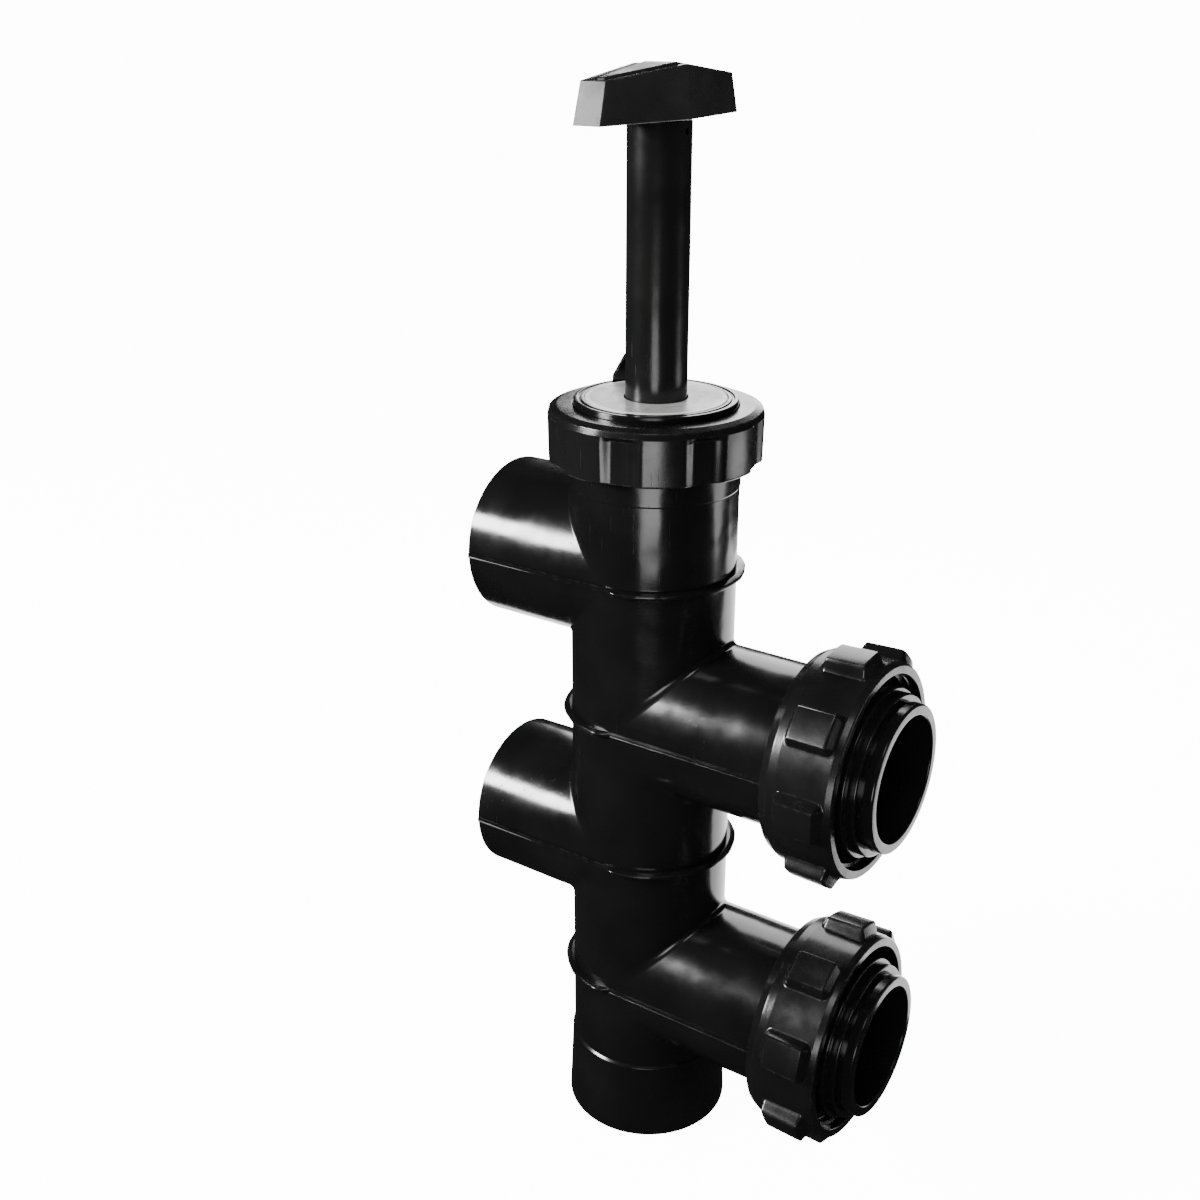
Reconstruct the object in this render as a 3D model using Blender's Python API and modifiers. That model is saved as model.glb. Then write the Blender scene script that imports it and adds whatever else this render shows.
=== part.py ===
"""Push-pull slide valve for pool pipework: a welded column with two plain sockets on one
side, two unions on the other and one socket below, and two pistons on a shaft inside it.

Metres, +Z up. The column's axis is vertical and stands on its bottom socket at z = 0.
Blender 4.5: blender --background --python part.py
"""

import math

import bmesh
import bpy
from mathutils import Matrix, Vector

# Clearances
GAP = 0.0003  # between pieces that touch, seat or slide
SEAL_GAP = 0.0003  # between an O-ring and the walls of its groove
PISTON_CLEARANCE = 0.0004
NUT_SLACK = 0.0018  # between a union sleeve's flange and the nut round it
NUT_STANDOFF = 0.0020  # from a right port's rim to its union nut

# Column
BORE_RADIUS = 0.0366
BODY_WALL = 0.0043
NECK_WALL = 0.0047
THREAD_WALL = 0.0091
NECK_ABOVE_PORT = 0.0031  # from the top of the highest port's pipe
NECK_HEIGHT = 0.0133
THREAD_LENGTH = 0.0173

# Side ports
PORT_PITCH = 0.0762  # height from one port to the next, left and right by turns
PORT_THROAT = 0.0300
SOCKET_BORE = 0.0367  # takes a 73.0 mm pipe
SOCKET_WALL = 0.0039
SOCKET_DEPTH = 0.0380
LEFT_STUB = 0.0064  # from the column's side to the floor of a left socket
RIGHT_STUB = 0.0151  # from the column's side to the floor of a right port's socket
UNION_SOCKET_BORE = 0.0366  # takes a union sleeve

# Weld flash, where the moulded sections were joined at each port's mid-plane
FLASH_PROUD = 0.0043
FLASH_PORT_PROUD = 0.0012
FLASH_THICKNESS = 0.0014  # in each section

# Bottom socket
FOOT_WALL = 0.0070
FOOT_TOP_WALL = 0.0052
FOOT_ABOVE_SOCKET = 0.0065  # the thick foot's top, from the socket's floor
FOOT_TO_PORT = 0.0043
FOOT_LEDGE = 0.0035
FOOT_LEDGE_WIDTH = 0.0036

# Unions
UNION_NUT_LENGTH = 0.0375
UNION_NUT_WALL = 0.0055
UNION_NUT_LIP = 0.0067
UNION_NUT_BEVEL = 0.0028  # at the end nearer the column
UNION_NUT_TAPER = 0.0008
UNION_PAD_START = 0.0095  # from the nut's end nearer the column
UNION_PAD_LENGTH = 0.0245
UNION_PAD_SLOPE = 0.0025  # at both ends of a pad
UNION_PAD_HEIGHT = 0.0064
UNION_PADS = 8
UNION_PAD_SHARE = 0.38  # of each pitch, the rest is pocket
UNION_PAD_FOOT = 0.0002  # left between the ring and the pockets' floor
UPPER_NUT_ANGLE = math.radians(207)  # a pocket's direction, where the nut came to rest
LOWER_NUT_ANGLE = math.radians(186)
SLEEVE_FLANGE_PROUD = 0.0049
SLEEVE_FLANGE = 0.0040
SLEEVE_SPIGOT = 0.0320
TAIL_LENGTH = 0.0387
TAIL_RADIUS = 0.03625
TAIL_BORE = 0.0306  # takes a 60.3 mm pipe
TAIL_STOP_WIDTH = 0.0031
TAIL_STOP = 0.0022
TAIL_THREAD_LENGTH = 0.0160
TAIL_THREAD_DEPTH = 0.0055
TAIL_SHOULDER = 0.0107
TAIL_COLLAR_STEP = 0.0020
TAIL_COLLAR = 0.0050
TAIL_GROOVE_DEPTH = 0.00125
TAIL_GROOVE = 0.0020

# Bonnet, its label and its nut
BONNET_FLANGE = 0.0036
BONNET_FLANGE_INSET = 0.0009  # inside the thread's outer side
BONNET_STEP = 0.0056  # from the flange's edge to the raised ring
BONNET_RISE = 0.0072
BONNET_PLUG_DEPTH = 0.0166
BONNET_PLUG_WALL = 0.0053
BONNET_CORE_TOP = 0.0060  # thickness left over the cored ring
STEM_GLAND_WALL = 0.0065
STEM_RING_ABOVE = (0.0050, 0.0150)  # the two stem seals, from the plug's lower face
LABEL_RIM = 0.0052
LABEL_RECESS = 0.0010
LABEL_THICKNESS = 0.0009
CAP_NUT_WALL = 0.0056
CAP_NUT_SKIRT = 0.0187  # below the column's top
CAP_NUT_BELOW_BONNET = 0.0030
CAP_NUT_BEVEL = 0.0044
CAP_NUT_SHOULDER = (0.0008, 0.0014)  # in from the side and down from the top, on the bevel
CAP_NUT_TAPER = 0.0008
CAP_PADS = 8
CAP_PAD_SHARE = 0.60
CAP_POCKET_DEPTH = 0.0030
CAP_POCKET_TOP = 0.0038  # solid rim over the pockets
CAP_NUT_ANGLE = math.radians(-31)
LUG_ANGLE = math.radians(138)
LUG_LENGTH = 0.0240
LUG_TOP_LENGTH = 0.0132
LUG_HEIGHT = 0.0140
LUG_ROOT = 0.0015  # sunk into the bonnet's rim
LUG_THICKNESS = 0.0032
LUG_HOLE_RADIUS = 0.0024
LUG_HOLE_HEIGHT = 0.0087

# Shaft and pistons
SHAFT_RADIUS = 0.0147
SHAFT_SPARE = 0.0486  # left above the bonnet when the handle is pushed down
ROD_RADIUS = 0.0090
SPIGOT_RADIUS = 0.0095
SPIGOT_HEIGHT = 0.0148
LOCK_HOLE_RADIUS = 0.0018
LOCK_HOLE_BELOW_TOP = 0.0046
PISTON_THICKNESS = 0.0160
PISTON_RINGS_APART = 0.0080
SPACER_RADIUS = 0.0125
WASHER_RADIUS = 0.0150
WASHER_THICKNESS = 0.0020
END_NUT_RADIUS = 0.0150
END_NUT_HEIGHT = 0.0100
ROD_PAST_NUT = 0.0020

# Handle, its screw and its cap
HANDLE_HALF_LENGTH = 0.0562
HANDLE_TOP_HALF_LENGTH = 0.0512
HANDLE_HALF_WIDTH = 0.0154
HANDLE_TOP_HALF_WIDTH = 0.0145
HANDLE_END_HALF_WIDTH = 0.0071
HANDLE_TOP_END_HALF_WIDTH = 0.0066
HANDLE_END_HEIGHT = 0.0178
HANDLE_MID_HEIGHT = 0.0240
CAP_STRIP_HALF_LENGTH = 0.0340
CAP_STRIP_HALF_WIDTH = 0.0062
CAP_STRIP_THICKNESS = 0.0036
HANDLE_SCREW_RADIUS = 0.0025
HANDLE_SCREW_HEAD_RADIUS = 0.0046
HANDLE_SCREW_HEAD = 0.0030
HANDLE_SCREW_LENGTH = 0.0130

# O-rings: cord radius
SEAL_CORD = 0.0013

OUTER_STEPS = 32
INNER_STEPS = 24
RING_STEPS = 24
POCKET_STEPS = 4  # along the floor of a grip pocket
RING_SIDES = 6
CUT_PAST = 0.0100  # how far a cutter runs past the face it opens
RUN_IN = 0.0050  # how far joined solids run into each other

# Places and sizes worked out from the ones above
BODY_RADIUS = BORE_RADIUS + BODY_WALL
NECK_RADIUS = BORE_RADIUS + NECK_WALL
THREAD_RADIUS = BORE_RADIUS + THREAD_WALL
PISTON_RADIUS = BORE_RADIUS - PISTON_CLEARANCE
PORT_RADIUS = SOCKET_BORE + SOCKET_WALL
LEFT_REACH = BODY_RADIUS + LEFT_STUB + SOCKET_DEPTH  # column axis to a left port's rim
RIGHT_REACH = BODY_RADIUS + RIGHT_STUB + SLEEVE_SPIGOT
FOOT_RADIUS = SOCKET_BORE + FOOT_WALL
FOOT_TOP_RADIUS = SOCKET_BORE + FOOT_TOP_WALL
FOOT_HEIGHT = SOCKET_DEPTH + FOOT_ABOVE_SOCKET
FOOT_LEDGE_RADIUS = BORE_RADIUS - FOOT_LEDGE_WIDTH
LOWEST_PORT_Z = FOOT_HEIGHT + FOOT_TO_PORT + PORT_RADIUS
PORT_Z = [LOWEST_PORT_Z + PORT_PITCH * step for step in range(4)]
LOWER_RIGHT_Z, LOWER_LEFT_Z, UPPER_RIGHT_Z, UPPER_LEFT_Z = PORT_Z
NECK_BASE_Z = UPPER_LEFT_Z + PORT_RADIUS + NECK_ABOVE_PORT
THREAD_BASE_Z = NECK_BASE_Z + NECK_HEIGHT
BODY_TOP_Z = THREAD_BASE_Z + THREAD_LENGTH
SLEEVE_FLANGE_RADIUS = PORT_RADIUS + SLEEVE_FLANGE_PROUD
UNION_NUT_BORE = SLEEVE_FLANGE_RADIUS + NUT_SLACK
UNION_NUT_RADIUS = UNION_NUT_BORE + UNION_NUT_WALL
UNION_NUT_START = RIGHT_REACH + NUT_STANDOFF  # this and the next are distances from the axis
SLEEVE_FLANGE_START = UNION_NUT_START + UNION_NUT_LIP + GAP
SLEEVE_FACE = SLEEVE_FLANGE_START + SLEEVE_FLANGE
TAIL_START = SLEEVE_FACE + GAP
TAIL_END = TAIL_START + TAIL_LENGTH
TAIL_THREAD_RADIUS = UNION_NUT_BORE - GAP
TAIL_SHOULDER_RADIUS = TAIL_THREAD_RADIUS - TAIL_THREAD_DEPTH
TAIL_COLLAR_RADIUS = TAIL_SHOULDER_RADIUS - TAIL_COLLAR_STEP
TAIL_STOP_RADIUS = TAIL_BORE - TAIL_STOP_WIDTH
AXIS_X = (LEFT_REACH - TAIL_END) / 2  # so that the origin is the middle of the whole length
BONNET_FLANGE_RADIUS = THREAD_RADIUS - BONNET_FLANGE_INSET
BONNET_RADIUS = BONNET_FLANGE_RADIUS - BONNET_STEP
BONNET_FLANGE_BOTTOM_Z = BODY_TOP_Z + GAP
BONNET_FLANGE_TOP_Z = BONNET_FLANGE_BOTTOM_Z + BONNET_FLANGE
BONNET_TOP_Z = BONNET_FLANGE_TOP_Z + BONNET_RISE
LABEL_RADIUS = BONNET_RADIUS - LABEL_RIM - GAP
CAP_NUT_RADIUS = THREAD_RADIUS + GAP + CAP_NUT_WALL
CAP_NUT_BOTTOM_Z = BODY_TOP_Z - CAP_NUT_SKIRT
CAP_NUT_TOP_Z = BONNET_TOP_Z - CAP_NUT_BELOW_BONNET
UPPER_PISTON_Z = (UPPER_RIGHT_Z + UPPER_LEFT_Z) / 2
LOWER_PISTON_Z = (LOWER_RIGHT_Z + LOWER_LEFT_Z) / 2
SHAFT_TOP_Z = BONNET_TOP_Z + PORT_PITCH + SHAFT_SPARE
HANDLE_BOTTOM_Z = SHAFT_TOP_Z + GAP


def clear_scene():
    for obj in list(bpy.data.objects):
        bpy.data.objects.remove(obj, do_unlink=True)


def make_collection(name):
    collection = bpy.data.collections.new(name)
    bpy.context.scene.collection.children.link(collection)
    return collection


def make_material(name, color, roughness, metallic=0.0):
    material = bpy.data.materials.new(name)
    material.use_nodes = True
    shader = material.node_tree.nodes["Principled BSDF"]
    shader.inputs["Base Color"].default_value = (*color, 1.0)
    shader.inputs["Roughness"].default_value = roughness
    shader.inputs["Metallic"].default_value = metallic
    return material


def make_axis(name, height, along_x=False):
    """An empty on the column's axis. Its own Z runs up, or outwards along +X for a union."""
    axis = bpy.data.objects.new(name, None)
    axis.location = (AXIS_X, 0, height)
    axis.rotation_euler = (0, math.pi / 2 if along_x else 0, 0)
    PARTS.objects.link(axis)
    return axis


def place(mesh, name, axis, material=None):
    """A new object on an axis: a part of the valve with a material, or a cutter without one."""
    obj = bpy.data.objects.new(name, mesh)
    (PARTS if material else CUTTERS).objects.link(obj)
    obj.parent = axis
    if material:
        mesh.materials.append(material)
    else:
        obj.hide_render = True
        obj.display_type = "WIRE"
    return obj


def smooth(mesh):
    mesh.shade_smooth()
    mesh.set_sharp_from_angle(angle=math.radians(35))


def turned(name, profile, axis, material, steps=OUTER_STEPS, closed=True):
    """Turns (radius, height) points about the axis. They run down the outer side first."""
    mesh = bpy.data.meshes.new(name)
    count = len(profile)
    edges = [(i, (i + 1) % count) for i in range(count if closed else count - 1)]
    mesh.from_pydata([(radius, 0, height) for radius, height in profile], edges, [])
    obj = place(mesh, name, axis, material)
    screw = obj.modifiers.new("Turn", "SCREW")
    screw.steps = screw.render_steps = steps
    screw.use_merge_vertices = True
    screw.merge_threshold = 0.00001
    screw.use_smooth_shade = True
    return obj


def from_bmesh(bm, name, axis, material=None):
    bmesh.ops.recalc_face_normals(bm, faces=bm.faces)
    mesh = bpy.data.meshes.new(name)
    bm.to_mesh(mesh)
    bm.free()
    smooth(mesh)
    return place(mesh, name, axis, material)


def add_rod(bm, radius, start, end, direction="Z", centre=(0, 0, 0), steps=OUTER_STEPS):
    """A cylinder between two distances along a direction through the centre."""
    turn = {
        "Z": Matrix.Identity(4),
        "X": Matrix.Rotation(math.pi / 2, 4, "Y"),
        "Y": Matrix.Rotation(-math.pi / 2, 4, "X"),
    }[direction]
    middle = Matrix.Translation((0, 0, (start + end) / 2))
    bmesh.ops.create_cone(
        bm,
        cap_ends=True,
        segments=steps,
        radius1=radius,
        radius2=radius,
        depth=abs(end - start),
        matrix=Matrix.Translation(centre) @ turn @ middle,
    )


def rod_solid(name, radius, start, end, axis, material=None, **options):
    bm = bmesh.new()
    add_rod(bm, radius, start, end, **options)
    return from_bmesh(bm, name, axis, material)


def block(name, low, high, axis, material=None):
    bm = bmesh.new()
    size = Vector(high) - Vector(low)
    middle = (Vector(high) + Vector(low)) / 2
    bmesh.ops.create_cube(bm, size=1, matrix=Matrix.Translation(middle) @ Matrix.Diagonal((*size, 1)))
    return from_bmesh(bm, name, axis, material)


def boolean(obj, operation, other):
    modifier = obj.modifiers.new(f"{operation} {other.name}", "BOOLEAN")
    modifier.operation = operation
    modifier.object = other
    modifier.solver = "EXACT"


def seal_ring(name, radius, height, axis):
    bpy.ops.mesh.primitive_torus_add(
        major_radius=radius,
        minor_radius=SEAL_CORD,
        major_segments=RING_STEPS,
        minor_segments=RING_SIDES,
    )
    made = bpy.context.object
    mesh = made.data
    bpy.data.objects.remove(made)
    mesh.name = name
    smooth(mesh)
    obj = place(mesh, name, axis, RUBBER)
    obj.location = (0, 0, height)
    return obj


def seal_groove(outer, height):
    """Points of an O-ring groove in an outer wall, from its top edge down."""
    half = SEAL_CORD + SEAL_GAP
    floor = outer - 2 * SEAL_CORD - SEAL_GAP
    return [(outer, height + half), (floor, height + half), (floor, height - half), (outer, height - half)]


# Column


def side_port(name, height, side, axis):
    """Pipe, throat and socket of one side port: side is -1 for a left socket, +1 for a right port."""
    reach = LEFT_REACH if side < 0 else RIGHT_REACH
    depth = SOCKET_DEPTH if side < 0 else SLEEVE_SPIGOT + GAP
    bore = SOCKET_BORE if side < 0 else UNION_SOCKET_BORE
    spans = {
        "pipe": (PORT_RADIUS, -RUN_IN, reach),
        "throat": (PORT_THROAT, 0, reach + CUT_PAST),
        "socket": (bore, reach - depth, reach + CUT_PAST),
    }
    return [
        rod_solid(
            f"{name}_{part}", radius, side * start, side * end, axis, direction="X", centre=(0, 0, height)
        )
        for part, (radius, start, end) in spans.items()
    ]


def weld_flash(name, plane, side, axis):
    """The ring squeezed out round the column at a weld plane, and the rib along that port's sides."""
    ring = rod_solid(
        f"{name}_ring",
        BODY_RADIUS + FLASH_PROUD,
        plane - FLASH_THICKNESS,
        plane + FLASH_THICKNESS,
        axis,
    )
    reach = LEFT_REACH if side < 0 else RIGHT_REACH
    half = PORT_RADIUS + FLASH_PORT_PROUD
    ends = sorted((side * RUN_IN, side * (reach - FLASH_THICKNESS)))
    rib = block(
        f"{name}_rib",
        (ends[0], -half, plane - FLASH_THICKNESS / 2),
        (ends[1], half, plane + FLASH_THICKNESS / 2),
        axis,
    )
    return [ring, rib]


def body_section(name, low, high, axis, end_piece=None, bore=None):
    """One moulded section of the column. Its low and high ends are weld planes or an end piece."""
    welds = [plane for plane in (low, high) if plane in PORT_Z]
    start, end = (bore or (low - 2 * CUT_PAST, high + 2 * CUT_PAST))
    section = rod_solid(
        name,
        BODY_RADIUS,
        low - CUT_PAST,
        high + (CUT_PAST if high in welds else 0),
        axis,
        BLACK,
    )
    bores = [rod_solid(f"{name}_bore", BORE_RADIUS, start, end, axis)]
    if end_piece:
        boolean(section, "UNION", end_piece)
    for plane in welds:
        side = -1 if plane in (UPPER_LEFT_Z, LOWER_LEFT_Z) else 1
        tag = f"{name}_{'left' if side < 0 else 'right'}"
        pipe, *ways = side_port(tag, plane, side, axis)
        bores += ways
        for joined in (pipe, *weld_flash(tag, plane, side, axis)):
            boolean(section, "UNION", joined)
    for cutter in bores:
        boolean(section, "DIFFERENCE", cutter)
    reach = LEFT_REACH + RIGHT_REACH
    bottom = low + GAP / 2 if low in welds else -CUT_PAST
    top = high - GAP / 2 if high in welds else BODY_TOP_Z + CUT_PAST
    slab = block(f"{name}_stretch", (-reach, -reach, bottom), (reach, reach, top), axis)
    boolean(section, "INTERSECT", slab)
    return section


def add_column(axis):
    neck = turned(
        "neck",
        [
            (0, BODY_TOP_Z),
            (THREAD_RADIUS, BODY_TOP_Z),
            (THREAD_RADIUS, THREAD_BASE_Z),
            (NECK_RADIUS, THREAD_BASE_Z),
            (NECK_RADIUS, NECK_BASE_Z),
            (0, NECK_BASE_Z),
        ],
        axis,
        None,
        closed=False,
    )
    body_section(
        "body_top_section",
        UPPER_LEFT_Z,
        NECK_BASE_Z + RUN_IN,
        axis,
        end_piece=neck,
        bore=(UPPER_LEFT_Z - CUT_PAST, BODY_TOP_Z + CUT_PAST),
    )
    body_section("body_upper_section", UPPER_RIGHT_Z, UPPER_LEFT_Z, axis)
    body_section("body_middle_section", LOWER_LEFT_Z, UPPER_RIGHT_Z, axis)
    body_section("body_lower_section", LOWER_RIGHT_Z, LOWER_LEFT_Z, axis)

    foot = turned(
        "foot",
        [(0, FOOT_HEIGHT), (FOOT_TOP_RADIUS, FOOT_HEIGHT), (FOOT_RADIUS, 0), (0, 0)],
        axis,
        None,
        closed=False,
    )
    ledge_top = SOCKET_DEPTH + FOOT_LEDGE
    section = body_section(
        "body_foot_section",
        FOOT_HEIGHT,
        LOWER_RIGHT_Z,
        axis,
        end_piece=foot,
        bore=(ledge_top, LOWER_RIGHT_Z + CUT_PAST),
    )
    ledge = rod_solid("foot_ledge", FOOT_LEDGE_RADIUS, -CUT_PAST, ledge_top + CUT_PAST, axis)
    socket = rod_solid("foot_bore", SOCKET_BORE, -CUT_PAST, SOCKET_DEPTH, axis)
    boolean(section, "DIFFERENCE", ledge)
    boolean(section, "DIFFERENCE", socket)


# Unions


def pocket_cutter(name, axis, pads, pad_share, first_angle, radii, heights):
    """Blocks with a round floor that leave the pads of a nut's grip, one for each pocket."""
    floor_radius, outer_radius = radii
    bm = bmesh.new()
    half = math.pi / pads * (1 - pad_share)
    turns = [half * (2 * step / POCKET_STEPS - 1) for step in range(POCKET_STEPS + 1)]
    outline = [(floor_radius, turn) for turn in turns]
    outline += [(outer_radius + CUT_PAST, turn) for turn in reversed(turns)]
    for index in range(pads):
        middle = first_angle + 2 * math.pi * index / pads
        ends = [
            [
                bm.verts.new((r * math.cos(middle + turn), r * math.sin(middle + turn), height))
                for r, turn in outline
            ]
            for height in heights
        ]
        for end in ends:
            bm.faces.new(end)
        for here, ahead in zip(range(len(outline)), [*range(1, len(outline)), 0]):
            bm.faces.new([ends[0][here], ends[0][ahead], ends[1][ahead], ends[1][here]])
    bmesh.ops.recalc_face_normals(bm, faces=bm.faces)
    return from_bmesh(bm, name, axis)


def add_union(side, axis, nut_angle):
    """Sleeve, seal, nut and tail of one union. Heights run outwards from the column's axis."""
    lip_end = UNION_NUT_START + UNION_NUT_LIP
    nut_end = UNION_NUT_START + UNION_NUT_LENGTH
    pad_start = UNION_NUT_START + UNION_PAD_START
    pad_end = pad_start + UNION_PAD_LENGTH
    pad_radius = UNION_NUT_RADIUS + UNION_PAD_HEIGHT
    nut = turned(
        f"{side}_union_nut",
        [
            (UNION_NUT_RADIUS - UNION_NUT_TAPER, nut_end),
            (UNION_NUT_RADIUS, pad_end),
            (pad_radius, pad_end - UNION_PAD_SLOPE),
            (pad_radius, pad_start + UNION_PAD_SLOPE),
            (UNION_NUT_RADIUS, pad_start),
            (UNION_NUT_RADIUS - UNION_NUT_BEVEL, UNION_NUT_START),
            (PORT_RADIUS + GAP, UNION_NUT_START),
            (PORT_RADIUS + GAP, lip_end),
            (UNION_NUT_BORE, lip_end),
            (UNION_NUT_BORE, nut_end),
        ],
        axis,
        BLACK,
    )
    pockets = pocket_cutter(
        f"{side}_union_nut_pockets",
        axis,
        UNION_PADS,
        UNION_PAD_SHARE,
        nut_angle,
        (UNION_NUT_RADIUS + UNION_PAD_FOOT, pad_radius),
        (pad_start - CUT_PAST, pad_end + CUT_PAST),
    )
    boolean(nut, "DIFFERENCE", pockets)

    seal_radius = (SLEEVE_FLANGE_RADIUS + PORT_THROAT) / 2
    seal_half = SEAL_CORD + SEAL_GAP
    turned(
        f"{side}_union_sleeve",
        [
            (SLEEVE_FLANGE_RADIUS, SLEEVE_FACE),
            (SLEEVE_FLANGE_RADIUS, SLEEVE_FLANGE_START),
            (PORT_RADIUS, SLEEVE_FLANGE_START),
            (PORT_RADIUS, RIGHT_REACH + GAP),
            (UNION_SOCKET_BORE - GAP, RIGHT_REACH + GAP),
            (UNION_SOCKET_BORE - GAP, RIGHT_REACH - SLEEVE_SPIGOT),
            (PORT_THROAT, RIGHT_REACH - SLEEVE_SPIGOT),
            (PORT_THROAT, SLEEVE_FACE),
            (seal_radius - seal_half, SLEEVE_FACE),
            (seal_radius - seal_half, SLEEVE_FACE - 2 * seal_half + GAP),
            (seal_radius + seal_half, SLEEVE_FACE - 2 * seal_half + GAP),
            (seal_radius + seal_half, SLEEVE_FACE),
        ],
        axis,
        BLACK,
        steps=INNER_STEPS,
    )
    seal_ring(f"{side}_union_oring", seal_radius, SLEEVE_FACE - seal_half + GAP / 2, axis)

    thread_end = TAIL_START + TAIL_THREAD_LENGTH
    shoulder_end = thread_end + TAIL_SHOULDER
    collar_end = shoulder_end + TAIL_COLLAR
    groove = TAIL_RADIUS - TAIL_GROOVE_DEPTH
    turned(
        f"{side}_union_tail",
        [
            (TAIL_RADIUS, TAIL_END),
            (TAIL_RADIUS, collar_end + TAIL_GROOVE),
            (groove, collar_end + TAIL_GROOVE),
            (groove, collar_end),
            (TAIL_COLLAR_RADIUS, collar_end),
            (TAIL_COLLAR_RADIUS, shoulder_end),
            (TAIL_SHOULDER_RADIUS, shoulder_end),
            (TAIL_SHOULDER_RADIUS, thread_end),
            (TAIL_THREAD_RADIUS, thread_end),
            (TAIL_THREAD_RADIUS, TAIL_START),
            (TAIL_STOP_RADIUS, TAIL_START),
            (TAIL_STOP_RADIUS, TAIL_START + TAIL_STOP),
            (TAIL_BORE, TAIL_START + TAIL_STOP),
            (TAIL_BORE, TAIL_END),
        ],
        axis,
        BLACK,
    )


# Bonnet and its nut


def add_bonnet(axis):
    plug_bottom = BODY_TOP_Z - BONNET_PLUG_DEPTH
    plug = BORE_RADIUS - GAP
    bore = SHAFT_RADIUS + GAP
    seal_z = BODY_TOP_Z - BONNET_PLUG_DEPTH / 2
    label_floor = BONNET_TOP_Z - LABEL_RECESS
    gland_half = SEAL_CORD + SEAL_GAP
    gland = bore + 2 * SEAL_CORD + SEAL_GAP
    gland_heights = [plug_bottom + above for above in STEM_RING_ABOVE]
    core_outer = plug - BONNET_PLUG_WALL
    core_inner = bore + STEM_GLAND_WALL
    profile = [
        (BONNET_RADIUS, BONNET_TOP_Z),
        (BONNET_RADIUS, BONNET_FLANGE_TOP_Z),
        (BONNET_FLANGE_RADIUS, BONNET_FLANGE_TOP_Z),
        (BONNET_FLANGE_RADIUS, BONNET_FLANGE_BOTTOM_Z),
        (plug, BONNET_FLANGE_BOTTOM_Z),
        *seal_groove(plug, seal_z),
        (plug, plug_bottom),
        (core_outer, plug_bottom),
        (core_outer, label_floor - BONNET_CORE_TOP),
        (core_inner, label_floor - BONNET_CORE_TOP),
        (core_inner, plug_bottom),
        (bore, plug_bottom),
    ]
    for height in gland_heights:
        profile += [
            (bore, height - gland_half),
            (gland, height - gland_half),
            (gland, height + gland_half),
            (bore, height + gland_half),
        ]
    profile += [
        (bore, label_floor),
        (LABEL_RADIUS + GAP, label_floor),
        (LABEL_RADIUS + GAP, BONNET_TOP_Z),
    ]
    bonnet = turned("bonnet", profile, axis, BLACK)
    boolean(bonnet, "UNION", lock_lug(axis))

    turned(
        "label_disc",
        [
            (LABEL_RADIUS, label_floor + GAP + LABEL_THICKNESS),
            (LABEL_RADIUS, label_floor + GAP),
            (bore, label_floor + GAP),
            (bore, label_floor + GAP + LABEL_THICKNESS),
        ],
        axis,
        LABEL,
    )
    seal_ring("bonnet_oring", plug - SEAL_CORD, seal_z, axis)
    for name, height in zip(("lower_stem_oring", "upper_stem_oring"), gland_heights):
        seal_ring(name, bore + SEAL_CORD, height, axis)


def lock_lug(axis):
    """A tab with a hole on the bonnet's rim, drawn as an outline and turned into place."""
    curve = bpy.data.curves.new("lock_lug", "CURVE")
    curve.dimensions = "2D"
    curve.fill_mode = "BOTH"
    curve.extrude = LUG_THICKNESS / 2
    half = LUG_LENGTH / 2
    top_half = LUG_TOP_LENGTH / 2
    outline = curve.splines.new("POLY")
    corners = [(-half, -LUG_ROOT), (half, -LUG_ROOT), (top_half, LUG_HEIGHT), (-top_half, LUG_HEIGHT)]
    outline.points.add(len(corners) - 1)
    for point, (across, up) in zip(outline.points, corners):
        point.co = (across, up, 0, 1)
    outline.use_cyclic_u = True
    guide = bpy.data.objects.new("lock_lug_outline", curve)
    CUTTERS.objects.link(guide)
    rim = (BONNET_RADIUS + LABEL_RADIUS + GAP) / 2
    stand = Matrix.Rotation(math.pi / 2, 4, "X")
    face_out = Matrix.Rotation(LUG_ANGLE + math.pi / 2, 4, "Z")
    out = Matrix.Translation((rim * math.cos(LUG_ANGLE), rim * math.sin(LUG_ANGLE), BONNET_TOP_Z))
    bpy.context.view_layer.update()
    mesh = bpy.data.meshes.new_from_object(guide)
    bpy.data.objects.remove(guide)
    bm = bmesh.new()
    bm.from_mesh(mesh)
    bmesh.ops.remove_doubles(bm, verts=bm.verts, dist=0.00001)
    bm.transform(out @ face_out @ stand)
    lug = from_bmesh(bm, "lock_lug_solid", axis)
    hole = rod_solid(
        "lock_lug_hole",
        LUG_HOLE_RADIUS,
        -LUG_THICKNESS,
        LUG_THICKNESS,
        axis,
        direction="Y",
        centre=(0, 0, LUG_HOLE_HEIGHT),
        steps=16,
    )
    hole.data.transform(out @ face_out)
    boolean(lug, "DIFFERENCE", hole)
    return lug


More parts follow.
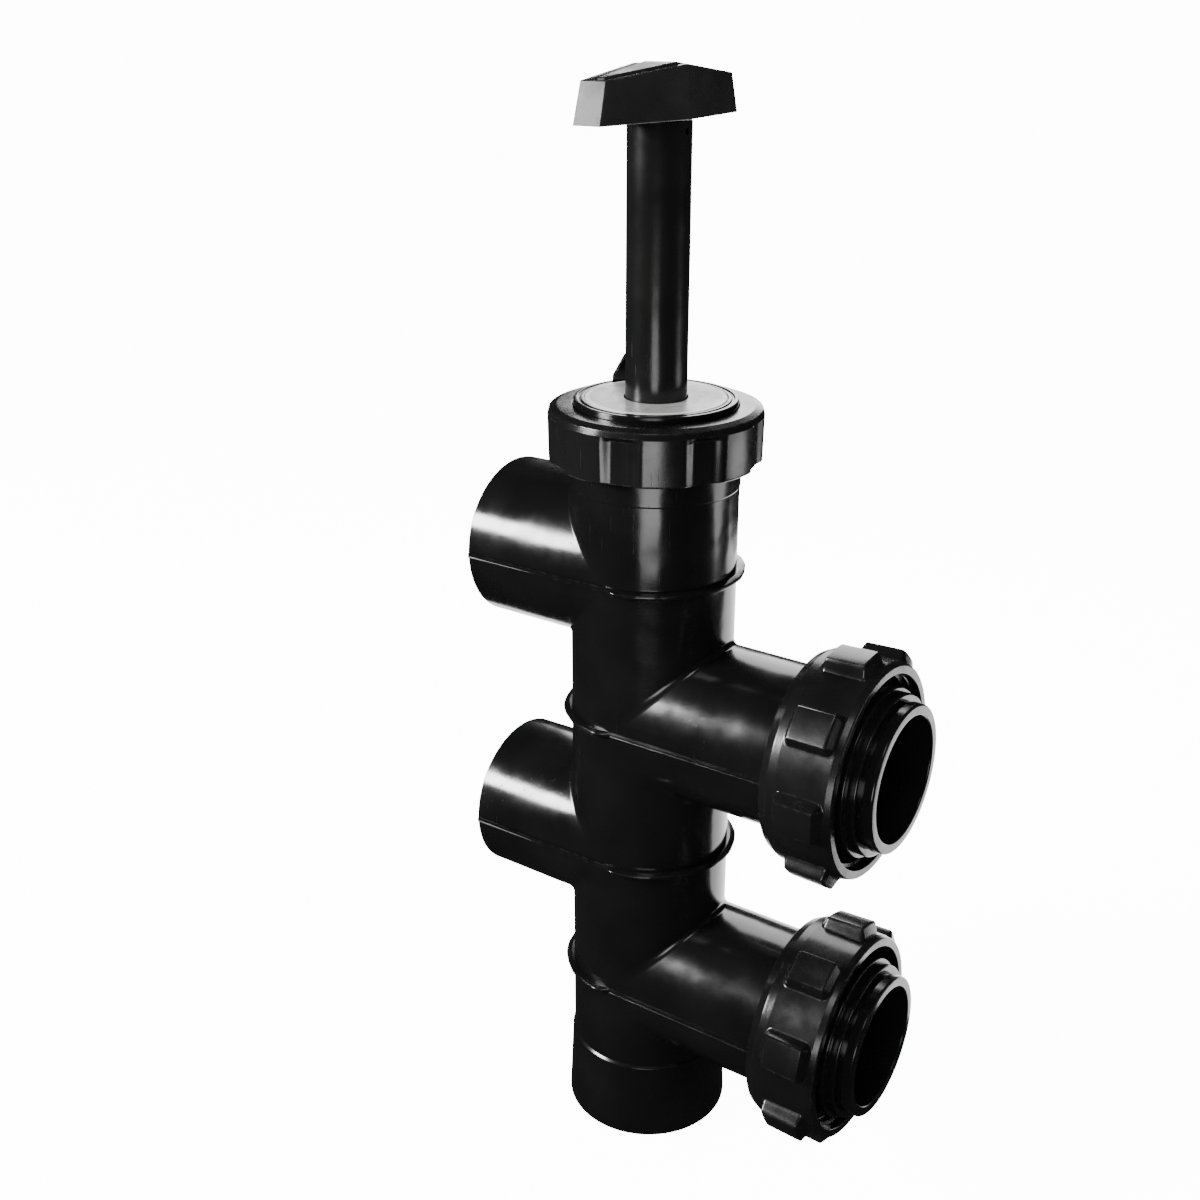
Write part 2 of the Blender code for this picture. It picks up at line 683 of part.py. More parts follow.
def add_cap_nut(axis):
    lip_bottom = BONNET_FLANGE_TOP_Z + GAP
    shoulder_in, shoulder_down = CAP_NUT_SHOULDER
    nut = turned(
        "cap_nut",
        [
            (CAP_NUT_RADIUS - CAP_NUT_BEVEL, CAP_NUT_TOP_Z),
            (CAP_NUT_RADIUS - shoulder_in, CAP_NUT_TOP_Z - shoulder_down),
            (CAP_NUT_RADIUS, CAP_NUT_TOP_Z - CAP_NUT_BEVEL),
            (CAP_NUT_RADIUS - CAP_NUT_TAPER, CAP_NUT_BOTTOM_Z),
            (THREAD_RADIUS + GAP, CAP_NUT_BOTTOM_Z),
            (THREAD_RADIUS + GAP, lip_bottom),
            (BONNET_RADIUS + GAP, lip_bottom),
            (BONNET_RADIUS + GAP, CAP_NUT_TOP_Z),
        ],
        axis,
        BLACK,
    )
    pockets = pocket_cutter(
        "cap_nut_pockets",
        axis,
        CAP_PADS,
        CAP_PAD_SHARE,
        CAP_NUT_ANGLE,
        (CAP_NUT_RADIUS - CAP_POCKET_DEPTH, CAP_NUT_RADIUS),
        (CAP_NUT_BOTTOM_Z - CUT_PAST, CAP_NUT_TOP_Z - CAP_POCKET_TOP),
    )
    boolean(nut, "DIFFERENCE", pockets)


# Shaft and pistons


def add_pistons(axis):
    half = PISTON_THICKNESS / 2
    for side, height in (("upper", UPPER_PISTON_Z), ("lower", LOWER_PISTON_Z)):
        rings = (height + PISTON_RINGS_APART / 2, height - PISTON_RINGS_APART / 2)
        turned(
            f"{side}_piston",
            [
                (PISTON_RADIUS, height + half),
                *seal_groove(PISTON_RADIUS, rings[0]),
                *seal_groove(PISTON_RADIUS, rings[1]),
                (PISTON_RADIUS, height - half),
                (ROD_RADIUS + GAP, height - half),
                (ROD_RADIUS + GAP, height + half),
            ],
            axis,
            WHITE,
            steps=INNER_STEPS,
        )
        for place_name, ring_z in zip(("top", "bottom"), rings):
            seal_ring(f"{side}_piston_oring_{place_name}", PISTON_RADIUS - SEAL_CORD, ring_z, axis)
    low = LOWER_PISTON_Z + half + GAP
    high = UPPER_PISTON_Z - half - GAP
    turned(
        "piston_spacer",
        [
            (SPACER_RADIUS, high),
            (SPACER_RADIUS, low),
            (ROD_RADIUS + GAP, low),
            (ROD_RADIUS + GAP, high),
        ],
        axis,
        WHITE,
        steps=INNER_STEPS,
    )


def add_shaft(axis):
    half = PISTON_THICKNESS / 2
    shoulder = UPPER_PISTON_Z + half + GAP
    washer_top = LOWER_PISTON_Z - half - GAP
    nut_top = washer_top - WASHER_THICKNESS - GAP
    nut_bottom = nut_top - END_NUT_HEIGHT
    spigot_top = SHAFT_TOP_Z + SPIGOT_HEIGHT
    shaft = turned(
        "shaft",
        [
            (0, spigot_top),
            (SPIGOT_RADIUS, spigot_top),
            (SPIGOT_RADIUS, SHAFT_TOP_Z),
            (SHAFT_RADIUS, SHAFT_TOP_Z),
            (SHAFT_RADIUS, shoulder),
            (ROD_RADIUS, shoulder),
            (ROD_RADIUS, nut_bottom - ROD_PAST_NUT),
            (0, nut_bottom - ROD_PAST_NUT),
        ],
        axis,
        BLACK,
        steps=INNER_STEPS,
        closed=False,
    )
    lock_hole = rod_solid(
        "shaft_lock_hole",
        LOCK_HOLE_RADIUS,
        -2 * SHAFT_RADIUS,
        2 * SHAFT_RADIUS,
        axis,
        direction="X",
        centre=(0, 0, SHAFT_TOP_Z - LOCK_HOLE_BELOW_TOP),
        steps=12,
    )
    screw_hole = rod_solid(
        "shaft_screw_hole",
        HANDLE_SCREW_RADIUS + GAP,
        spigot_top - HANDLE_SCREW_LENGTH,
        spigot_top + CUT_PAST,
        axis,
        steps=16,
    )
    boolean(shaft, "DIFFERENCE", lock_hole)
    boolean(shaft, "DIFFERENCE", screw_hole)

    turned(
        "end_washer",
        [
            (WASHER_RADIUS, washer_top),
            (WASHER_RADIUS, washer_top - WASHER_THICKNESS),
            (ROD_RADIUS + GAP, washer_top - WASHER_THICKNESS),
            (ROD_RADIUS + GAP, washer_top),
        ],
        axis,
        STEEL,
        steps=INNER_STEPS,
    )
    nut = rod_solid("end_nut", END_NUT_RADIUS, nut_bottom, nut_top, axis, STEEL, steps=6)
    hole = rod_solid(
        "end_nut_hole",
        ROD_RADIUS + GAP,
        nut_bottom - CUT_PAST,
        nut_top + CUT_PAST,
        axis,
        steps=INNER_STEPS,
    )
    boolean(nut, "DIFFERENCE", hole)


# Handle


def roof_bar(name, axis, widths, lengths, heights, base, material=None):
    """A bar along Y, widest and tallest at its middle: each pair is (bottom or end, top or middle)."""
    bm = bmesh.new()
    (bottom_mid, top_mid), (bottom_end, top_end) = widths
    bottom_length, top_length = lengths
    end_height, mid_height = heights
    bmesh.ops.create_cube(bm, size=2)
    bmesh.ops.bisect_plane(
        bm, geom=bm.verts[:] + bm.edges[:] + bm.faces[:], plane_co=(0, 0, 0), plane_no=(0, 1, 0)
    )
    for vert in bm.verts:
        top = vert.co.z > 0
        middle = abs(vert.co.y) < 0.5
        if middle:
            width = top_mid if top else bottom_mid
        else:
            width = top_end if top else bottom_end
        height = (mid_height if middle else end_height) if top else 0
        length = top_length if top else bottom_length
        vert.co = (vert.co.x * width, vert.co.y * length, base[1 if middle else 0] + height)
    return from_bmesh(bm, name, axis, material)


def add_handle(axis):
    handle = roof_bar(
        "handle",
        axis,
        ((HANDLE_HALF_WIDTH, HANDLE_TOP_HALF_WIDTH), (HANDLE_END_HALF_WIDTH, HANDLE_TOP_END_HALF_WIDTH)),
        (HANDLE_HALF_LENGTH, HANDLE_TOP_HALF_LENGTH),
        (HANDLE_END_HEIGHT, HANDLE_MID_HEIGHT),
        (HANDLE_BOTTOM_Z, HANDLE_BOTTOM_Z),
        GREY,
    )
    drop = (HANDLE_MID_HEIGHT - HANDLE_END_HEIGHT) * CAP_STRIP_HALF_LENGTH / HANDLE_TOP_HALF_LENGTH
    strip_mid = HANDLE_BOTTOM_Z + HANDLE_MID_HEIGHT - CAP_STRIP_THICKNESS
    strip_end = strip_mid - drop
    strip_width = (CAP_STRIP_HALF_WIDTH, CAP_STRIP_HALF_WIDTH)
    roof_bar(
        "handle_cap",
        axis,
        (strip_width, strip_width),
        (CAP_STRIP_HALF_LENGTH, CAP_STRIP_HALF_LENGTH),
        (CAP_STRIP_THICKNESS, CAP_STRIP_THICKNESS),
        (strip_end, strip_mid),
        GREY,
    )
    channel_width = (CAP_STRIP_HALF_WIDTH + GAP, CAP_STRIP_HALF_WIDTH + GAP)
    channel = roof_bar(
        "handle_channel",
        axis,
        (channel_width, channel_width),
        (CAP_STRIP_HALF_LENGTH + GAP, CAP_STRIP_HALF_LENGTH + GAP),
        (CAP_STRIP_THICKNESS + CUT_PAST, CAP_STRIP_THICKNESS + CUT_PAST),
        (strip_end - GAP, strip_mid - GAP),
    )
    spigot_top = SHAFT_TOP_Z + SPIGOT_HEIGHT
    socket = rod_solid(
        "handle_socket",
        SPIGOT_RADIUS + GAP,
        HANDLE_BOTTOM_Z - CUT_PAST,
        spigot_top + GAP,
        axis,
        steps=INNER_STEPS,
    )
    head_top = strip_mid - 2 * GAP
    head_bottom = head_top - HANDLE_SCREW_HEAD
    counterbore = rod_solid(
        "handle_counterbore",
        HANDLE_SCREW_HEAD_RADIUS + GAP,
        head_bottom - GAP,
        strip_mid + CUT_PAST,
        axis,
        steps=16,
    )
    screw_way = rod_solid(
        "handle_screw_way",
        HANDLE_SCREW_RADIUS + GAP,
        spigot_top - GAP,
        strip_mid,
        axis,
        steps=16,
    )
    for cutter in (channel, socket, counterbore, screw_way):
        boolean(handle, "DIFFERENCE", cutter)
    screw_tip = spigot_top - HANDLE_SCREW_LENGTH + 2 * GAP
    turned(
        "handle_screw",
        [
            (0, head_top),
            (HANDLE_SCREW_HEAD_RADIUS, head_top),
            (HANDLE_SCREW_HEAD_RADIUS, head_bottom),
            (HANDLE_SCREW_RADIUS, head_bottom),
            (HANDLE_SCREW_RADIUS, screw_tip),
            (0, screw_tip),
        ],
        axis,
        STEEL,
        steps=16,
        closed=False,
    )


clear_scene()
PARTS = make_collection("slide_valve")
CUTTERS = make_collection("cutters")
BLACK = make_material("black_plastic", (0.012, 0.012, 0.013), 0.22)
GREY = make_material("handle_plastic", (0.03, 0.03, 0.032), 0.3)
WHITE = make_material("piston_plastic", (0.6, 0.6, 0.58), 0.4)
LABEL = make_material("label", (0.45, 0.45, 0.45), 0.5)
RUBBER = make_material("seal_rubber", (0.01, 0.01, 0.01), 0.7)
STEEL = make_material("stainless_steel", (0.55, 0.55, 0.56), 0.3, 1.0)

column_axis = make_axis("column_axis", 0)
add_column(column_axis)
add_union("upper", make_axis("upper_union_axis", UPPER_RIGHT_Z, along_x=True), UPPER_NUT_ANGLE)
add_union("lower", make_axis("lower_union_axis", LOWER_RIGHT_Z, along_x=True), LOWER_NUT_ANGLE)
add_bonnet(make_axis("bonnet_axis", 0))
add_cap_nut(make_axis("cap_nut_axis", 0))
add_pistons(make_axis("piston_axis", 0))
stem_axis = make_axis("stem_axis", 0)
add_shaft(stem_axis)
add_handle(stem_axis)
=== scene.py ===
import math

import bmesh
import bpy
from mathutils import Matrix, Vector


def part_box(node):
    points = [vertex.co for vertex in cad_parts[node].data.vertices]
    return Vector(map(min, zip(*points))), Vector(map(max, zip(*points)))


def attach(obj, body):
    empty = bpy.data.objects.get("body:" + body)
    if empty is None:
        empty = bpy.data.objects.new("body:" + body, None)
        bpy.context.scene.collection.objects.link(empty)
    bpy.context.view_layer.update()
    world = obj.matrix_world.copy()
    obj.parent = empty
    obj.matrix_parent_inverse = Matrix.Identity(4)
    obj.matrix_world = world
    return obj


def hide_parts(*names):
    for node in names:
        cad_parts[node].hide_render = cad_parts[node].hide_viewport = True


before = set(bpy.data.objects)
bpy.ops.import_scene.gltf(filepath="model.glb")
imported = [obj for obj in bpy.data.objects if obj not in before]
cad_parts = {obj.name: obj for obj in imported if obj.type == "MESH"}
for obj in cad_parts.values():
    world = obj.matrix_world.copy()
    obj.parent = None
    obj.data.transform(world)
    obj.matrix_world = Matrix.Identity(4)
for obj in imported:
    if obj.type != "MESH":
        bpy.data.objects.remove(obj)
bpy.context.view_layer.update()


# Places, read from the frame. The column, the shaft and the bonnet share one upright axis.

def middle(node):
    low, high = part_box(node)
    return (low + high) / 2


axisX = middle("shaft").x
capZ = {"bottom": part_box("cap_nut")[0].z, "top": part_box("cap_nut")[1].z}
portZ = {
    "upperLeft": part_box("body_top_section")[0].z,
    "upperRight": middle("upper_union_tail").z,
    "lowerLeft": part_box("body_lower_section")[1].z,
    "lowerRight": middle("lower_union_tail").z,
}
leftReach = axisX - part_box("body_top_section")[0].x
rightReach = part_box("body_upper_section")[1].x - axisX
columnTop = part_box("body_top_section")[1].z
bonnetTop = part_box("label_disc")[1].z
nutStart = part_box("upper_union_nut")[0].x - axisX
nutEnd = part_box("upper_union_nut")[1].x - axisX
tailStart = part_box("upper_union_tail")[0].x - axisX
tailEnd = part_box("upper_union_tail")[1].x - axisX
handleLow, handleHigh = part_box("handle")
upright = Matrix.Translation((axisX, 0, 0))
outward = {
    side: Matrix.Translation((axisX, 0, portZ[side + "Right"])) @ Matrix.Rotation(math.pi / 2, 4, "Y")
    for side in ("upper", "lower")
}
ports = [
    (portZ[name], side, leftReach if side < 0 else rightReach)
    for name, side in (("upperLeft", -1), ("upperRight", 1), ("lowerLeft", -1), ("lowerRight", 1))
]
threadPitch = 0.004
seatGap = 0.0003


# Shader groups

def newGroup(name, inputs, outputs):
    group = bpy.data.node_groups.new(name, "ShaderNodeTree")
    for label, kind, value in inputs:
        socket = group.interface.new_socket(label, in_out="INPUT", socket_type=kind)
        if value is not None:
            socket.default_value = value
    for label, kind in outputs:
        group.interface.new_socket(label, in_out="OUTPUT", socket_type=kind)
    start = group.nodes.new("NodeGroupInput")
    end = group.nodes.new("NodeGroupOutput")
    return group, start, end


def addNode(tree, kind, settings=None, **inputs):
    node = tree.nodes.new(kind)
    for label, value in (settings or {}).items():
        setattr(node, label, value)
    for label, value in inputs.items():
        socket = node.inputs[label.replace("_", " ")]
        if isinstance(value, bpy.types.NodeSocket):
            tree.links.new(value, socket)
        else:
            socket.default_value = value
    return node


def mapRange(tree, value, fromLow, fromHigh, toLow, toHigh):
    node = tree.nodes.new("ShaderNodeMapRange")
    for index, given in enumerate((value, fromLow, fromHigh, toLow, toHigh)):
        if isinstance(given, bpy.types.NodeSocket):
            tree.links.new(given, node.inputs[index])
        else:
            node.inputs[index].default_value = given
    return node.outputs[0]


def combine(tree, operation, first, second=None, clamp=False):
    node = addNode(tree, "ShaderNodeMath", {"operation": operation, "use_clamp": clamp})
    for index, value in enumerate((first, second)):
        if isinstance(value, bpy.types.NodeSocket):
            tree.links.new(value, node.inputs[index])
        elif value is not None:
            node.inputs[index].default_value = value
    return node.outputs[0]


def mixColors(tree, first, second, factor):
    node = addNode(tree, "ShaderNodeMix", {"data_type": "RGBA"})
    for label, value in (("A", first), ("B", second)):
        if isinstance(value, bpy.types.NodeSocket):
            tree.links.new(value, node.inputs[label])
        else:
            node.inputs[label].default_value = (*value, 1)
    tree.links.new(factor, node.inputs["Factor"])
    return node.outputs["Result"]


def newMaterial(name):
    material = bpy.data.materials.new(name)
    material.use_nodes = True
    tree = material.node_tree
    return material, tree, tree.nodes["Principled BSDF"]


# The skin of a moulded part: slow waves where the plastic shrank, a fine grain, and hairline scuffs
def makeMouldedSkin():
    floatIn = "NodeSocketFloat"
    group, start, end = newGroup(
        "mouldedSkin",
        [
            ("Low Roughness", floatIn, 0.15),
            ("High Roughness", floatIn, 0.3),
            ("Wave", floatIn, 0.0004),
            ("Grain", floatIn, 0.00002),
            ("Scuff", floatIn, 0.3),
        ],
        [("Roughness", floatIn), ("Normal", "NodeSocketVector"), ("Mask", floatIn)],
    )
    where = addNode(group, "ShaderNodeTexCoord").outputs["Object"]
    cloud = addNode(group, "ShaderNodeTexNoise", Vector=where, Scale=38.0, Detail=4.0, Roughness=0.6)
    smooth, rough = start.outputs["Low Roughness"], start.outputs["High Roughness"]
    patch = mapRange(group, cloud.outputs["Fac"], 0.35, 0.7, smooth, rough)
    stretch = addNode(group, "ShaderNodeMapping", Vector=where)
    stretch.inputs["Scale"].default_value = (900, 900, 60)
    stretch.inputs["Rotation"].default_value = (0.5, 0.3, 0.2)
    hair = addNode(group, "ShaderNodeTexNoise", Vector=stretch.outputs[0], Scale=1.0, Detail=2.0)
    hairMask = mapRange(group, hair.outputs["Fac"], 0.66, 0.74, 0.0, 1.0)
    touched = addNode(group, "ShaderNodeTexNoise", Vector=where, Scale=14.0, Detail=1.0)
    touchedMask = mapRange(group, touched.outputs["Fac"], 0.5, 0.65, 0.0, 1.0)
    scuffMask = combine(group, "MULTIPLY", hairMask, touchedMask)
    scuff = combine(group, "MULTIPLY", scuffMask, start.outputs["Scuff"])
    scuffed = combine(group, "ADD", patch, scuff, clamp=True)
    wave = addNode(group, "ShaderNodeTexNoise", Vector=where, Scale=55.0, Detail=1.0)
    waveBump = addNode(group, "ShaderNodeBump", Strength=1.0, Height=wave.outputs["Fac"])
    group.links.new(start.outputs["Wave"], waveBump.inputs["Distance"])
    grain = addNode(group, "ShaderNodeTexNoise", Vector=where, Scale=2600.0, Detail=2.0)
    grainBump = addNode(
        group, "ShaderNodeBump", Strength=1.0, Height=grain.outputs["Fac"], Normal=waveBump.outputs[0]
    )
    group.links.new(start.outputs["Grain"], grainBump.inputs["Distance"])
    group.links.new(scuffed, end.inputs["Roughness"])
    group.links.new(grainBump.outputs[0], end.inputs["Normal"])
    group.links.new(scuffMask, end.inputs["Mask"])
    return group


# Wear on edges, broken up into spots, as a mask for the colour
def makeEdgeWear():
    group, start, end = newGroup(
        "edgeWear",
        [("Radius", "NodeSocketFloat", 0.0012), ("Amount", "NodeSocketFloat", 0.4)],
        [("Mask", "NodeSocketFloat")],
    )
    bevel = addNode(group, "ShaderNodeBevel", {"samples": 4})
    group.links.new(start.outputs["Radius"], bevel.inputs["Radius"])
    flat = addNode(group, "ShaderNodeNewGeometry").outputs["Normal"]
    turn = addNode(group, "ShaderNodeVectorMath", {"operation": "DOT_PRODUCT"})
    group.links.new(bevel.outputs[0], turn.inputs[0])
    group.links.new(flat, turn.inputs[1])
    edge = mapRange(group, turn.outputs["Value"], 0.995, 0.9, 0.0, 1.0)
    where = addNode(group, "ShaderNodeTexCoord").outputs["Object"]
    spots = addNode(group, "ShaderNodeTexNoise", Vector=where, Scale=220.0, Detail=4.0)
    broken = mapRange(group, spots.outputs["Fac"], 0.45, 0.62, 0.0, 1.0)
    worn = combine(group, "MULTIPLY", edge, broken)
    group.links.new(combine(group, "MULTIPLY", worn, start.outputs["Amount"]), end.inputs["Mask"])
    return group


skinGroup = makeMouldedSkin()
wearGroup = makeEdgeWear()


def plastic(name, look):
    material, tree, shader = newMaterial(name)
    skin = tree.nodes.new("ShaderNodeGroup")
    skin.node_tree = skinGroup
    skin.inputs["Low Roughness"].default_value = look["roughness"][0]
    skin.inputs["High Roughness"].default_value = look["roughness"][1]
    skin.inputs["Wave"].default_value = look["wave"]
    skin.inputs["Grain"].default_value = look["grain"]
    skin.inputs["Scuff"].default_value = look["scuff"]
    wear = tree.nodes.new("ShaderNodeGroup")
    wear.node_tree = wearGroup
    wear.inputs["Amount"].default_value = look["wear"]
    where = addNode(tree, "ShaderNodeTexCoord").outputs["Object"]
    cloud = addNode(tree, "ShaderNodeTexNoise", Vector=where, Scale=25.0, Detail=3.0)
    faded = [part * look["fade"] for part in look["color"]]
    clouded = mixColors(tree, look["color"], faded, mapRange(tree, cloud.outputs["Fac"], 0.4, 0.7, 0.0, 1.0))
    rubbed = mixColors(tree, clouded, look["rubbed"], wear.outputs["Mask"])
    tree.links.new(rubbed, shader.inputs["Base Color"])
    tree.links.new(skin.outputs["Roughness"], shader.inputs["Roughness"])
    tree.links.new(skin.outputs["Normal"], shader.inputs["Normal"])
    shader.inputs["IOR"].default_value = look["ior"]
    return material


materialLooks = {
    "bodyPlastic": dict(
        color=(0.0035, 0.0035, 0.0037), fade=1.5, rubbed=(0.03, 0.03, 0.03), wear=0.25,
        roughness=(0.13, 0.24), wave=0.0003, grain=0.000008, scuff=0.2, ior=1.5,
    ),
    "nutPlastic": dict(
        color=(0.004, 0.004, 0.0042), fade=1.6, rubbed=(0.05, 0.05, 0.05), wear=0.5,
        roughness=(0.16, 0.3), wave=0.0002, grain=0.00002, scuff=0.25, ior=1.5,
    ),
    "handlePlastic": dict(
        color=(0.012, 0.012, 0.0125), fade=1.6, rubbed=(0.07, 0.07, 0.07), wear=0.5,
        roughness=(0.2, 0.34), wave=0.0004, grain=0.00002, scuff=0.3, ior=1.52,
    ),
    "shaftPlastic": dict(
        color=(0.005, 0.005, 0.0052), fade=1.4, rubbed=(0.03, 0.03, 0.03), wear=0.3,
        roughness=(0.16, 0.26), wave=0.0002, grain=0.00001, scuff=0.3, ior=1.5,
    ),
    "pistonPlastic": dict(
        color=(0.55, 0.55, 0.52), fade=0.9, rubbed=(0.4, 0.4, 0.38), wear=0.2,
        roughness=(0.35, 0.5), wave=0.0002, grain=0.00003, scuff=0.2, ior=1.5,
    ),
    "sealRubber": dict(
        color=(0.008, 0.008, 0.008), fade=1.5, rubbed=(0.02, 0.02, 0.02), wear=0.2,
        roughness=(0.45, 0.6), wave=0.0001, grain=0.00004, scuff=0.1, ior=1.5,
    ),
}
plastics = {name: plastic(name, look) for name, look in materialLooks.items()}


# The blank label: a pale, patchy disc with one fine ring, and a lighter rim
def makeLabel():
    look = dict(
        rim=0.0318, rimSoft=0.0002, line=0.0213, lineHalf=0.0003, pale=(0.36, 0.36, 0.355),
        faded=(0.22, 0.22, 0.22), rimPaint=(0.62, 0.62, 0.61), ink=(0.16, 0.16, 0.16),
    )
    material, tree, shader = newMaterial("labelPrint")
    where = addNode(tree, "ShaderNodeTexCoord").outputs["Object"]
    centred = addNode(tree, "ShaderNodeMapping", Vector=where)
    centred.inputs["Location"].default_value = (-axisX, 0, -bonnetTop)
    far = addNode(tree, "ShaderNodeVectorMath", {"operation": "LENGTH"})
    tree.links.new(centred.outputs[0], far.inputs[0])
    radius = far.outputs["Value"]
    rim = mapRange(tree, radius, look["rim"] - look["rimSoft"], look["rim"] + look["rimSoft"], 0.0, 1.0)
    away = combine(tree, "ABSOLUTE", combine(tree, "SUBTRACT", radius, look["line"]))
    line = mapRange(tree, away, look["lineHalf"], look["lineHalf"] * 1.6, 0.55, 0.0)
    paper = addNode(tree, "ShaderNodeTexNoise", Vector=where, Scale=120.0, Detail=6.0, Roughness=0.7)
    patchy = mapRange(tree, paper.outputs["Fac"], 0.38, 0.68, 0.0, 1.0)
    tone = mixColors(tree, look["pale"], look["faded"], patchy)
    ringed = mixColors(tree, tone, look["ink"], line)
    tree.links.new(mixColors(tree, ringed, look["rimPaint"], rim), shader.inputs["Base Color"])
    tree.links.new(mapRange(tree, paper.outputs["Fac"], 0.3, 0.7, 0.28, 0.42), shader.inputs["Roughness"])
    return material


def makeSteel():
    material, tree, shader = newMaterial("turnedSteel")
    shader.inputs["Metallic"].default_value = 1.0
    where = addNode(tree, "ShaderNodeTexCoord").outputs["Object"]
    grain = addNode(tree, "ShaderNodeTexNoise", Vector=where, Scale=900.0, Detail=3.0)
    tone = mixColors(tree, (0.5, 0.5, 0.51), (0.62, 0.62, 0.62), grain.outputs["Fac"])
    tree.links.new(tone, shader.inputs["Base Color"])
    tree.links.new(mapRange(tree, grain.outputs["Fac"], 0.3, 0.7, 0.22, 0.4), shader.inputs["Roughness"])
    return material


labelPrint = makeLabel()
turnedSteel = makeSteel()
print("materials made")


# Mesh helpers

def ease(value):
    value = min(1.0, max(0.0, value))
    return value * value * (3 - 2 * value)


# Rounds an outline's corners: each is (radius, height) or (radius, height, fillet)
def softOutline(corners, steps=4):
    outline = []
    for index, corner in enumerate(corners):
        here = Vector(corner[:2])
        if len(corner) < 3:
            outline.append(here)
            continue
        back = (Vector(corners[index - 1][:2]) - here).normalized()
        ahead = (Vector(corners[(index + 1) % len(corners)][:2]) - here).normalized()
        half = back.angle(ahead) / 2
        centre = here + (back + ahead).normalized() * corner[2] / math.sin(half)
        first = here + back * corner[2] / math.tan(half) - centre
        last = here + ahead * corner[2] / math.tan(half) - centre
        begin = math.atan2(first.y, first.x)
        sweep = math.remainder(math.atan2(last.y, last.x) - begin, 2 * math.pi)
        for step in range(steps + 1):
            angle = begin + sweep * step / steps
            outline.append(centre + corner[2] * Vector((math.cos(angle), math.sin(angle))))
    return outline


# Spins an outline about Z. An open outline has both its ends on the axis.
def spinOutline(bm, outline, steps, closed=True):
    verts = [bm.verts.new((point[0], 0, point[1])) for point in outline]
    pairs = list(zip(verts, verts[1:] + verts[:1]))
    edges = [bm.edges.new(pair) for pair in (pairs if closed else pairs[:-1])]
    bmesh.ops.spin(
        bm, geom=verts + edges, cent=(0, 0, 0), axis=(0, 0, 1), dvec=(0, 0, 0),
        angle=2 * math.pi, steps=steps, use_merge=True, use_duplicate=False,
    )
    bmesh.ops.remove_doubles(bm, verts=bm.verts, dist=1e-6)
    bmesh.ops.recalc_face_normals(bm, faces=bm.faces)


# A screw thread's ridge: a small closed outline carried round and along the axis, fading at both ends
def addThread(bm, root, crest, start, end, phase=0.0, steps=72):
    half = threadPitch * 0.3
    tip = threadPitch * 0.1
    sunk = root - math.copysign(0.0004, crest - root)
    turns = (end - start - 2 * half) / threadPitch
    begin = start + half
    angle = 2 * math.pi * ((begin / threadPitch - phase) % 1.0)
    outline = [(sunk, -half), (root, -half), (crest, -tip), (crest, tip), (root, half), (sunk, half)]
    verts = [
        bm.verts.new((r * math.cos(angle), r * math.sin(angle), begin + z)) for r, z in outline
    ]
    edges = [bm.edges.new(pair) for pair in zip(verts, verts[1:] + verts[:1])]
    count = int(round(turns * steps))
    bmesh.ops.spin(
        bm, geom=verts + edges, cent=(0, 0, 0), axis=(0, 0, 1), dvec=(0, 0, threadPitch / steps),
        angle=2 * math.pi * count / steps, steps=count, use_merge=False, use_duplicate=False,
    )
    ridge = set(verts)
    stack = list(verts)
    while stack:
        for edge in stack.pop().link_edges:
            for vert in edge.verts:
                if vert not in ridge:
                    ridge.add(vert)
                    stack.append(vert)
    last = begin + count * threadPitch / steps
    for vert in ridge:
        height = vert.co.z
        near = min(height - begin, last - height) / (threadPitch * 0.35)
        keep = min(1.0, max(0.02, near + 0.02))
        radius = math.hypot(vert.co.x, vert.co.y)
        wanted = sunk + (radius - sunk) * keep
        vert.co.x *= wanted / radius
        vert.co.y *= wanted / radius
    rims = [edge for edge in bm.edges if edge.is_boundary and edge.verts[0] in ridge]
    bmesh.ops.holes_fill(bm, edges=rims, sides=0)


def bevelEdges(bm, edges, offset, segments):
    bmesh.ops.bevel(
        bm, geom=edges, offset=offset, offset_type="OFFSET", segments=segments, profile=0.5,
        affect="EDGES", clamp_overlap=True, material=-1,
    )


# Adds one bmesh to another and frees it
def addTo(bm, part):
    mesh = bpy.data.meshes.new("part")
    part.to_mesh(mesh)
    part.free()
    bm.from_mesh(mesh)
    bpy.data.meshes.remove(mesh)


def makeObject(bm, name):
    mesh = bpy.data.meshes.new(name)
    bm.to_mesh(mesh)
    bm.free()
    obj = bpy.data.objects.new(name, mesh)
    bpy.context.scene.collection.objects.link(obj)
    return obj


# Cuts the given bmeshes out of the first one and gives the result as a new bmesh
def carve(bm, cutters):
    target = makeObject(bm, "uncut")
    helpers = [makeObject(cutter, "cutter") for cutter in cutters]
    for helper in helpers:
        cut = target.modifiers.new("cut", "BOOLEAN")
        cut.operation = "DIFFERENCE"
        cut.solver = "EXACT"
        cut.object = helper
    bpy.context.view_layer.update()
    graph = bpy.context.evaluated_depsgraph_get()
    mesh = bpy.data.meshes.new_from_object(target.evaluated_get(graph))
    for helper in helpers + [target]:
        bpy.data.objects.remove(helper)
    result = bmesh.new()
    result.from_mesh(mesh)
    bpy.data.meshes.remove(mesh)
    bmesh.ops.remove_doubles(result, verts=result.verts, dist=1e-6)
    return result


def cylinder(radius, start, end, steps=96, place=None):
    bm = bmesh.new()
    spinOutline(bm, [(0, end), (radius, end), (radius, start), (0, start)], steps, closed=False)
    if place:
        bm.transform(place)
    bmesh.ops.recalc_face_normals(bm, faces=bm.faces)
    return bm


